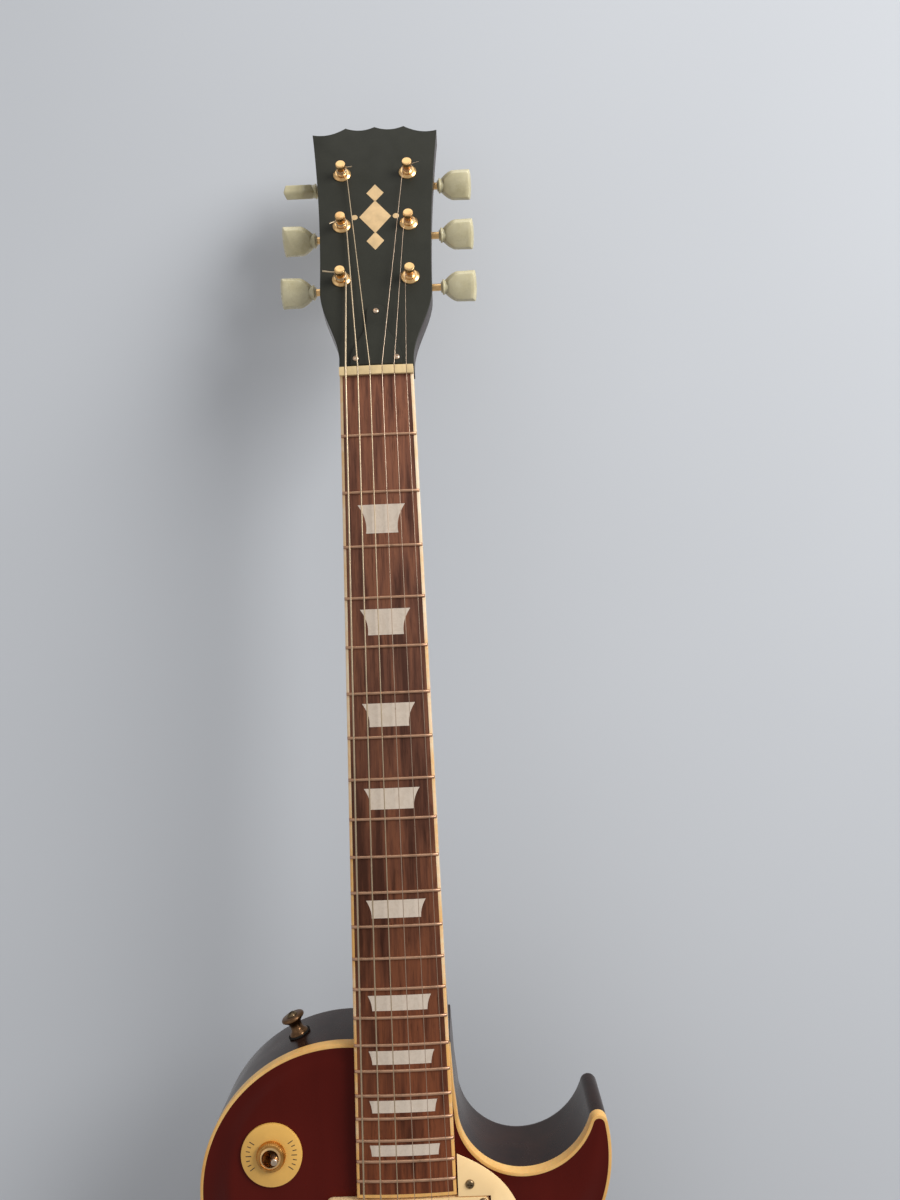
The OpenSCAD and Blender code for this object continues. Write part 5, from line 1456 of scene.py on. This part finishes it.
class GUITAR_OT_strings(bpy.types.Operator):
    """Strings from the tailpiece over the bridge and nut to their windings on the posts"""

    bl_idname = "guitar.strings"
    bl_label = "Strings"

    def execute(self, context):
        g = Layout(context.scene)
        wires = [tube("string", self.path(g, i), STRING_R[i]) for i in range(STRINGS)]
        wound, plain = join("strings_wound", *wires[:BASS]), join("strings_plain", *wires[BASS:])
        settle(wound, g.neck, "wound_wire", "guitar", "bronze_wire", ["wound_strings"])
        settle(plain, g.neck, "steel_wire", "guitar", "steel_wire", ["plain_strings"])
        return {"FINISHED"}

    def path(self, g, i):
        """Middle line of a string, in the frame of the neck."""
        s = g.s
        r = STRING_R[i]
        share = i / (STRINGS - 1) - 0.5
        x_nut, x_bridge = NUT_SPREAD * share, BRIDGE_SPREAD * share
        to_neck = g.neck.inverted() @ g.body
        hole = -s.carve_rise - 9.2
        ball = to_neck @ Vector((x_bridge, hole, g.tail_z - 3))
        leave = to_neck @ Vector((x_bridge, hole, g.tail_z + 6))
        saddle_s = g.bridge_s - x_bridge * math.tan(math.radians(BRIDGE_SLANT))
        saddle = Vector((x_bridge, g.crown(x_bridge) - BRIDGE_ACTION - r, -saddle_s))
        nut = Vector((x_nut, g.crown(x_nut) - NUT_ACTION - r, 0))
        nut_back = nut + Vector((0, 0, s.nut_thick))
        return [ball, leave, saddle, nut, nut_back] + self.winding(g, i, nut_back)

    def winding(self, g, i, nut_back):
        """Turns round the post, from where the string meets it."""
        r = STRING_R[i]
        core_r, foot, gap, side = 2.7, 2.7, 0.5, head_side(i)
        head_to_neck = g.neck.inverted() @ g.head
        q = head_to_neck.inverted() @ nut_back
        p = g.posts[i]
        reach = core_r + r
        away = Vector((q[0] - p[0], q[2] - p[1]))
        start = math.atan2(away[1], away[0]) - side * math.acos(reach / away.length)
        turns = 1.5 if r > 0.3 else 2.5
        steps = int(40 * turns)
        path = []
        for k in range(steps + 1):
            a = start - side * math.tau * turns * k / steps
            high = foot + (2 * r + gap) * turns * k / steps
            at = Vector((p[0] + reach * math.cos(a), -high, p[1] + reach * math.sin(a)))
            path.append(head_to_neck @ at)
        return path


class GUITAR_OT_pickups(bpy.types.Operator):
    """Pickup covers with slotted poles, and the rings that hold them"""

    bl_idname = "guitar.pickups"
    bl_label = "Pickups"

    def execute(self, context):
        g = Layout(context.scene)
        string_gap, row = 3.2, 9.5
        for name, place, pole_z, below in (
            ("neck", g.neck_pickup, row, NECK_PICKUP),
            ("bridge", g.bridge_pickup, -row, BRIDGE_PICKUP),
        ):
            action = mix(NUT_ACTION, BRIDGE_ACTION, g.along(below) / g.s.scale_length)
            seat = (g.neck.inverted() @ place).translation[1]
            self.cover(name, place, pole_z, string_gap - seat - action)
            ring = dressed(f"{name}_ring", 0.6)
            finish(ring, "cream_plastic", slot="cream_plastic", replaces=[f"{name}_ring"])
        return {"FINISHED"}

    def cover(self, name, place, pole_z, top):
        """Cover with its face at the depth top, and a row of poles in it."""
        body = f"{name}_pickup"
        wide, tall, corner, deep = 70, 38, 3, 16
        outline = round_box(wide, tall, corner)
        cover = slab(f"{name}_cover_gold", outline, top, top + deep, front=1.6, steps=6)
        settle(cover, place, "gold", body, "gold", [f"{name}_pickup_cover"])
        pole = spun("pole", [(0, -1), (2.35, -1), (2.35, 0.25), (2.15, 0.42), (0, 0.42)])
        cut(pole, block("slot", (-3, -1, -0.4), (3, -0.05, 0.4)))
        spread = mix(NUT_SPREAD, BRIDGE_SPREAD, 0.85)
        places = []
        for i in range(STRINGS):
            x = spread * (i / (STRINGS - 1) - 0.5)
            places.append(move(x, top, pole_z) @ turn(15 + 55 * i, "Y"))
        settle(join(f"{name}_poles", *copies(pole, places)), place, "gold", body, "gold")


class GUITAR_OT_bridge(bpy.types.Operator):
    """Bridge with its saddles, the tailpiece and their slotted studs"""

    bl_idname = "guitar.bridge"
    bl_label = "Bridge and tailpiece"

    def execute(self, context):
        g = Layout(context.scene)
        for node, width in (("bridge", 0.5), ("saddles", 0.2), ("bridge_posts", 0.4), ("tailpiece", 0.7)):
            finish(dressed(node, width), "gold", slot="gold", replaces=[node])
        profile = [(0, -18), (3.4, -18), (3.4, 13.6), (7.7, 13.6), (8, 13.9), (8, 15.55), (3.4, 15.55)]
        profile += [(3.4, 22.75), (8, 22.75), (8, 24.6), (7.8, 25), (7.3, 25.25), (0, 25.3)]
        stud = spun("stud", profile)
        cut(stud, block("slot", (-9, -27, -0.9), (9, -24, 0.9)))
        stud_x, slot_turn = 41, 30
        places = [move(k * stud_x, 0, g.tail_z) @ turn(slot_turn * k, "Y") for k in (-1, 1)]
        studs = join("slotted_studs", *copies(stud, places))
        settle(studs, g.body, "gold", slot="gold", replaces=["tail_studs"])
        return {"FINISHED"}


class GUITAR_OT_controls(bpy.types.Operator):
    """Selector switch with its plate, and the four numbered knobs"""

    bl_idname = "guitar.controls"
    bl_label = "Controls"

    bore, plate_thick = 6.05, 1.6  # of the plate under the switch

    def execute(self, context):
        g = Layout(context.scene)
        self.switch_plate(g)
        self.switch_nut(g)
        self.lever(g)
        self.knobs(g)
        return {"FINISHED"}

    def switch_plate(self, g):
        """Disc with a softened edge, and tick marks on both sides."""
        r, thick = g.s.plate_d / 2, self.plate_thick
        profile = [(self.bore, 0), (r, 0), (r, 1.2), (r - 0.1, 1.45), (r - 0.4, thick), (self.bore, thick)]
        disc = spun("switch_disc", profile, 96)
        settle(disc, g.switch, "chip_plastic", slot="cream_plastic", replaces=["switch_plate"])
        outer, half, pitch = 14.4, 0.24, 11
        marks = []
        for side in (180, 0):
            for k in range(-3, 4):
                inner = 11.2 if k % 3 == 0 else 12.2
                outline = [(inner, -half), (outer, -half), (outer, half), (inner, half)]
                mark = slab("mark", outline, -thick - 0.03, 0.1 - thick)
                marks.append(moved(mark, turn(pitch * k + side, "Y")))
        settle(join("switch_marks", *marks), g.switch, "dark_print", slot="black_plastic")

    def switch_nut(self, g):
        """Round nut whose outer edge is knurled by pulling in every other corner."""
        foot, top, steps, knurl = self.plate_thick, 5, 96, 0.97
        profile = [(self.bore, foot), (8.2, foot), (8.2, 3.4), (7.9, 4.1), (7.3, 4.8), (6.8, top)]
        nut = spun("knurled_nut", profile + [(self.bore, top)], steps)
        for v in nut.data.vertices:
            x, y, z = v.co
            if math.hypot(x, z) > 7.8 and round(math.atan2(z, x) / math.tau * steps) % 2:
                v.co = (x * knurl, y, z * knurl)
        settle(nut, g.switch, "gold_old", slot="gold", replaces=["switch_nut"], limit=25)

    def lever(self, g):
        """Bare lever on the pin that it tilts about, at its treble stop."""
        pivot, tilt, pin_r, pin_half = 6, 12, 1.2, 5.7
        profile = [(0, -3.2), (1.8, -2.9), (2.6, -1.9), (2.6, 1.9), (2, 3), (2, 14.3), (1.9, 14.9)]
        profile += [(1.6, 15.3), (1, 15.52), (0, 15.6)]
        pin = moved(rod("pin", pin_r, -pin_half, pin_half), turn(90, "X"))
        lever = join("lever", spun("lever", profile), pin)
        place = g.switch @ move(0, pivot, 0) @ turn(tilt, "Z")
        settle(lever, place, "steel_wire", "selector", "gold", ["toggle_lever"])

    def knobs(self, g):
        numbers = self.numbers()
        for name in ("neck_volume", "bridge_volume", "neck_tone", "bridge_tone"):
            low, high = (Vector(c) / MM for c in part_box(f"knob_{name}"))
            seat = low[1] + g.s.knob_height
            place = move((low[0] + high[0]) / 2, seat, (low[2] + high[2]) / 2)
            knob = spun(f"{name}_knob", self.profile(g, seat - high[1]), 72)
            settle(knob, place, "amber_knob", f"control_{name}", "knob_plastic", [f"knob_{name}"])
            dial = copy(numbers, f"{name}_numbers")
            settle(dial, place, "dark_print", f"control_{name}", "black_plastic")
        bpy.data.objects.remove(numbers)

    def profile(self, g, foot):
        """Knob with a hollow skirt, and a sleeve inside that reaches down to its foot."""
        r, h = g.s.knob_r, g.s.knob_height
        waist_r, edge, skirt, sag = 9, 1.2, 8, 1.4
        line = [(0, foot), (3, foot), (3, 8.4), (7.2, 8.4), (r - 2, 0), (r, 0), (r, edge)]
        for k in range(1, 7):
            swept = mix(r, waist_r, k / 6) - sag * math.sin(math.pi * k / 6)
            line.append((swept, mix(edge, skirt, k / 6)))
        return line + [(8.4, 13.6), (8.3, 14.2), (8, 14.7), (7.5, 14.95), (0, h)]

    def numbers(self):
        """Plain numbers round the skirt."""
        size, first, pitch = 3, -150, 30
        parts = []
        for k in range(11):
            deselect()
            bpy.ops.object.text_add()
            text = bpy.context.object
            text.data.body = str(k)
            text.data.size = size
            text.data.align_x = "CENTER"
            text.data.extrude = 0.04
            text.data.resolution_u = 3
            bpy.ops.object.convert(target="MESH")
            number = named("number")
            number.data.transform(turn(90, "X"))
            lay = turn(first + pitch * k, "Y") @ move(0, -1.62, 9.55) @ turn(58, "X")
            parts.append(moved(number, lay))
        return join("numbers", *parts)


class GUITAR_OT_guard(bpy.types.Operator):
    """Pickguard with a wide bevel along its curved edge, and its bracket"""

    bl_idname = "guitar.guard"
    bl_label = "Pickguard"

    bevel = (3.4, 1.6)  # width and height
    ring = (91, 46)  # width and height of a pickup's ring
    clearance = 0.8

    def execute(self, context):
        g = Layout(context.scene)
        drop, thick = GUARD_DROP, 2.4
        outer, inner = self.lines(g)
        rings = [
            [(p[0], drop + thick, p[1]) for p in outer],
            [(p[0], drop + self.bevel[1], p[1]) for p in outer],
            [(p[0], drop, p[1]) for p in inner],
        ]
        guard = loft("guard_sheet", rings)
        settle(guard, g.neck, "cream_plastic", slot="cream_plastic", replaces=["pickguard"])
        finish(dressed("guard_bracket", 0.4), "gold", slot="gold", replaces=["guard_bracket"])
        return {"FINISHED"}

    def lines(self, g):
        """Outline of the sheet, and the same with the curved edge moved in by the bevel."""
        edge, gap = (size / 2 + self.clearance for size in self.ring)
        inner_x = g.board_half(g.board_end) + self.clearance
        between_x = inner_x + 6
        bridge_z = (g.neck.inverted() @ g.bridge_pickup).translation[2]
        top, low = -g.along(61.3), bridge_z - gap - 5
        neck_high, neck_low = gap - g.along(NECK_PICKUP), -gap - g.along(NECK_PICKUP)
        curve = self.curve(g, inner_x, edge + 4, top, low)
        rest = [(inner_x, -g.board_end + 0.2), (inner_x, neck_high), (edge, neck_high), (edge, neck_low)]
        rest += [(between_x, neck_low), (between_x, bridge_z + gap), (edge, bridge_z + gap), (edge, low)]
        rest = [Vector(p) for p in rest]
        shifted = outline_inset(curve + rest, self.bevel[0])[: len(curve)]
        shifted[0] = Vector((curve[0][0] - 3, low))
        shifted[-1] = Vector((inner_x, top - 7))
        shifted = [Vector((max(p[0], inner_x), p[1])) for p in shifted]
        return curve + rest, shifted + rest

    def curve(self, g, inner_x, low_x, top, low):
        """Curved edge from its low end up to the fretboard, widest at the middle."""
        reach, shoulder = 74, 36
        mid = -g.along(135)
        points = []
        for i in range(61):
            z = mix(low, top, i / 60)
            if z > mid:
                k = (top - z) / (top - mid)
                x = inner_x + shoulder * (1 - (1 - k) ** 4.8)
                x += (reach - inner_x - shoulder) * ease(k, 0.3, 1)
            else:
                x = mix(reach, low_x, ((mid - z) / (mid - low)) ** 2.5)
            points.append(Vector((x, z)))
        return points


class GUITAR_OT_fittings(bpy.types.Operator):
    """Socket, strap buttons, back covers and all the screws"""

    bl_idname = "guitar.fittings"
    bl_label = "Fittings"

    cover_height, button_height = 2, 12  # where the screws of the truss cover and the straps sit

    def execute(self, context):
        g = Layout(context.scene)
        finish(dressed("jack_plate", 0.5), "gold", slot="gold", replaces=["jack_plate"])
        finish(dressed("jack_socket", 0.25, 2), "gold", slot="steel_wire", replaces=["jack_socket"])
        self.strap_buttons(g)
        self.covers(g)
        self.front_screws(g)
        self.lid_screws(g)
        return {"FINISHED"}

    def strap_buttons(self, g):
        """Turned buttons on black felt washers, which also stand in as painted shadow at the buttons' base.
        """
        top = self.button_height
        profile = [(0, 0), (5.6, 0), (5.5, 1.4), (5, 2.2), (4, 3.1), (3.6, 4), (3.4, 5.4), (3.5, 6.6)]
        profile += [(3.9, 7.7), (5, 8.8), (6.2, 9.7), (6.75, 10.2), (6.8, 10.7), (6.7, 11.2), (6.3, 11.7)]
        profile += [(5.7, top - 0.05), (0, top)]
        button = moved(spun("strap_button", profile), turn(-90, "X"))
        # black washer under each button: a felt washer, and painted shadow where the button meets the body
        washer = moved(spun("washer", [(0, 0), (6.4, 0), (6.6, 0.5), (6.4, 1), (0, 1)]), turn(-90, "X"))
        knobs = join("strap_knobs", *copies(button, g.straps))
        settle(knobs, Matrix(), "strap_bronze", slot="gold", replaces=["strap_buttons"])
        shadow_felts = join("strap_felts", *copies(washer, g.straps))
        settle(shadow_felts, Matrix(), "felt", slot="black_plastic")

    def covers(self, g):
        """Lids of both cavities, level with the back."""
        deep, r = g.s.body_thick, COVER_R - COVER_GAP
        switch = g.body @ move(g.switch_p[0], 0, g.switch_p[1])
        for name, outline, place, node in (
            ("control_lid", round_poly(g.cavity, r), g.body, "control_cover"),
            ("switch_lid", circle(r), switch, "switch_cover"),
        ):
            lid = slab(name, outline, deep - COVER_THICK, deep, back=0.5)
            settle(lid, place, "black_plastic", slot="black_plastic", replaces=[node])

    def screw(self, head, tall, deep, hollow=0.0):
        """Domed screw with a cross slot, and a round hollow if given as a share of its radius."""
        shank = 1.2 if head < 2.4 else 1.6
        profile = [(0, -deep), (shank, 1 - deep), (shank, 0), (head, 0), (head, 0.1)]
        profile += [(head * 0.93, tall * 0.45), (head * 0.7, tall * 0.8), (head * 0.4, tall * 0.96)]
        profile.append((0, tall))
        screw = spun("screw", profile, 32)
        w, arm, over = head * 0.13, head * 0.62, -tall - 1
        cut(
            screw,
            block("slot", (-arm, over, -w), (arm, -tall * 0.45, w)),
            block("slot", (-w, over, -arm), (w, -tall * 0.45, arm)),
        )
        if hollow:
            cut(screw, rod("hollow", head * hollow, over, -tall * 0.3))
        return screw

    def front_screws(self, g):
        kinds = {
            "small": self.screw(2.1, 1.1, 9),
            "medium": self.screw(2.5, 1.3, 16),
            "large": self.screw(3.2, 1.7, 30),
            "bell": self.screw(1.8, 0.8, 9, 0.55),
        }
        placed = {"bell_screws": [], "screws": []}
        for n, (kind, at) in enumerate(self.places(g)):
            screw = copy(kinds[kind], "screw", at @ turn(37 * n, "Y"))
            placed["bell_screws" if kind == "bell" else "screws"].append(screw)
        bell = join("bell_screws", *placed["bell_screws"])
        settle(bell, Matrix(), "steel_wire", slot="steel_wire")
        rest = join("screws", *placed["screws"])
        settle(rest, Matrix(), "screw_metal", slot="gold", replaces=["trim_screws"])
        for obj in kinds.values():
            bpy.data.objects.remove(obj)

    def lid_screws(self, g):
        """Flat screws in the back covers."""
        places = []
        for n, p in enumerate(g.cover_screws):
            places.append(g.body @ move(p[0], g.s.body_thick, p[1]) @ turn(180, "X") @ turn(41 * n, "Y"))
        screws = join("lid_screws", *copies(self.screw(2.2, 0.12, 9), places))
        settle(screws, Matrix(), "screw_metal", slot="gold", replaces=["cover_screws"])

    def places(self, g):
        """Kind and place of each screw, except those of the back covers."""
        s = g.s
        for x, v in ((0, 38.8), (12, 5.7), (-12, 5.7)):
            yield "bell", g.head @ move(x, -self.cover_height, v)
        for p in g.posts:
            for v in (-9.6, 14.7):
                yield "small", g.head @ move(p[0], s.head_thick + 1.2, p[1] + v) @ turn(180, "X")
        corner_x, corner_z, height_x = 42.1, 20.1, 40.65
        for node, place in (("neck_ring", g.neck_pickup), ("bridge_ring", g.bridge_pickup)):
            tall = self.ring_height(node, place)
            for k in (-1, 1):
                for m in (-1, 1):
                    yield "medium", place @ move(k * corner_x, -tall, m * corner_z)
                yield "medium", place @ move(k * height_x, -tall, 0)
        guard_x, guard_below = 35, 76.5
        yield "medium", g.neck @ move(guard_x, GUARD_DROP, -g.along(guard_below))
        corner = 13.4
        for k in (-1, 1):
            lean = turn(k * math.degrees(math.asin(corner / s.lower_r)), "Y")
            for m in (-1, 1):
                yield "small", g.jack @ lean @ move(s.lower_r + 2, m * corner, 0) @ turn(90, "Z")
        for at in g.straps:
            yield "large", at @ move(0, 0, self.button_height) @ turn(-90, "X")
        low, high = (Vector(c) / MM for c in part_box("guard_bracket"))
        yield "small", move(high[0], g.rim_y + 9, (low[2] + high[2]) / 2) @ turn(90, "Z")

    def ring_height(self, node, place):
        """How far a ring's face stands in front of its seat."""
        back = (Matrix.Scale(MM, 4) @ place).inverted()
        return -min((back @ v.co)[1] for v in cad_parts[node].data.vertices)


class GUITAR_OT_inside(bpy.types.Operator):
    """Finishes of the solids that stay as they are inside the guitar"""

    bl_idname = "guitar.inside"
    bl_label = "Inner parts"

    def execute(self, context):
        for node, name in (
            ("truss_rod", "steel_wire"),
            ("pots", "steel_wire"),
            ("switch_body", "gold"),
            ("neck_pickup_coils", "coil"),
            ("bridge_pickup_coils", "coil"),
        ):
            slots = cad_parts[node].data.materials
            slots.clear()
            slots.append(bpy.data.materials[PREFIX + name])
        return {"FINISHED"}


class GUITAR_OT_stage(bpy.types.Operator):
    """Backdrop, floor, soft light and the camera"""

    bl_idname = "guitar.stage"
    bl_label = "Stage"

    def execute(self, context):
        scene = context.scene
        low, high = CAD_BOX
        self.surface("floor_sheet", "floor", move(0, 0, low[2] - 0.02))
        self.surface("backdrop_sheet", "wall", move(0, high[1] + 0.035, 0) @ turn(90, "X"))
        key = self.lamp("key", (1.45, -0.95, 0.75), aim=(0, 0, -0.15), size=1.2, power=15)
        key.data.spread = math.radians(110)
        self.lamp("fill", (-1.6, -1.5, 0.1), aim=(0, 0, -0.3), size=1.8, power=2.5)
        self.lamp("ceiling", (0, -0.3, 1.5), aim=(0, 0, 0), size=1.5, power=5)
        back = self.lamp("back", (0.6, 1.9, 0.6), aim=(0, 0, -0.4), size=1.8, power=24)
        back.visible_glossy = False
        world = bpy.data.worlds.new("studio")
        world.use_nodes = True
        light = world.node_tree.nodes["Background"]
        light.inputs["Color"].default_value = (0.98, 0.98, 1, 1)
        light.inputs["Strength"].default_value = 0.42
        scene.world = world
        scene.view_settings.view_transform = "Standard"
        self.camera(scene)
        return {"FINISHED"}

    def camera(self, scene):
        lens = bpy.data.cameras.new("camera")
        lens.lens, lens.sensor_width = 27.0, 36.0
        camera = bpy.data.objects.new("camera", lens)
        camera.location = (0.04164, -0.523471, -0.126716)
        camera.rotation_euler = [math.radians(a) for a in (89.3702, 2.3934, 0.456)]
        scene.collection.objects.link(camera)
        scene.camera = camera

    def surface(self, name, tint, place):
        """Sheet that only the camera sees, and only from its front."""
        deselect()
        bpy.ops.mesh.primitive_grid_add(x_subdivisions=4, y_subdivisions=4, size=9)
        sheet = named(name)
        sheet.data.transform(place)
        mat = bpy.data.materials.new(name)
        mat.use_nodes = True
        tree = mat.node_tree
        shader = tree.nodes["Principled BSDF"]
        shader.inputs["Roughness"].default_value = 0.8
        shader.inputs["Specular IOR Level"].default_value = 0.1
        cloud = noise(tree, object_at(tree), 1.4, 3)
        base = paint(tint)
        tone = ramp(tree, cloud, [(0.3, dimmed(base, 0.94)), (0.7, base)])
        tree.links.new(tone, shader.inputs["Base Color"])
        behind = put(tree, "ShaderNodeNewGeometry").outputs["Backfacing"]
        clear = put(tree, "ShaderNodeBsdfTransparent").outputs[0]
        both = put(tree, "ShaderNodeMixShader", {0: behind, 1: shader.outputs[0], 2: clear})
        tree.links.new(both.outputs[0], tree.nodes["Material Output"].inputs["Surface"])
        sheet.data.materials.append(mat)
        for ray in ("diffuse", "glossy", "transmission", "shadow"):
            setattr(sheet, f"visible_{ray}", False)
        sheet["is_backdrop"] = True

    def lamp(self, name, place, aim, size, power):
        """Round area lamp that looks at a point."""
        light = bpy.data.lights.new(name, "AREA")
        light.shape, light.size, light.energy = "DISK", size, power
        obj = bpy.data.objects.new(name, light)
        obj.location = place
        obj.rotation_euler = (Vector(aim) - Vector(place)).to_track_quat("-Z", "Y").to_euler()
        bpy.context.scene.collection.objects.link(obj)
        return obj


class GUITAR_PT_panel(bpy.types.Panel):
    """Operators that build the guitar, in order"""

    bl_idname = "GUITAR_PT_panel"
    bl_label = "Guitar"
    bl_space_type = "VIEW_3D"
    bl_region_type = "UI"
    bl_category = "Guitar"

    def draw(self, context):
        for operator in OPERATORS:
            self.layout.operator(operator.bl_idname)


OPERATORS = (
    GUITAR_OT_finishes,
    GUITAR_OT_stage,
    GUITAR_OT_body,
    GUITAR_OT_neck,
    GUITAR_OT_fretboard,
    GUITAR_OT_tuners,
    GUITAR_OT_strings,
    GUITAR_OT_pickups,
    GUITAR_OT_bridge,
    GUITAR_OT_controls,
    GUITAR_OT_guard,
    GUITAR_OT_fittings,
    GUITAR_OT_inside,
)
GROUPS = {
    "guitar_neck": GuitarNeckSizes,
    "guitar_body": GuitarBodySizes,
    "guitar_colours": GuitarColours,
}


def register():
    for cls in (*GROUPS.values(), *OPERATORS, GUITAR_PT_panel):
        bpy.utils.register_class(cls)
    for name, cls in GROUPS.items():
        setattr(bpy.types.Scene, name, bpy.props.PointerProperty(type=cls))


def unregister():
    for name in GROUPS:
        delattr(bpy.types.Scene, name)
    for cls in (GUITAR_PT_panel, *reversed(OPERATORS), *reversed(GROUPS.values())):
        bpy.utils.unregister_class(cls)


def main():
    register()
    for operator in OPERATORS:
        family, name = operator.bl_idname.split(".")
        getattr(getattr(bpy.ops, family), name)()
    boxes = {"cad": CAD_BOX, "visual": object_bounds()}
    {name: [list(corner) for corner in box] for name, box in boxes.items()}


if __name__ == "__main__":
    main()
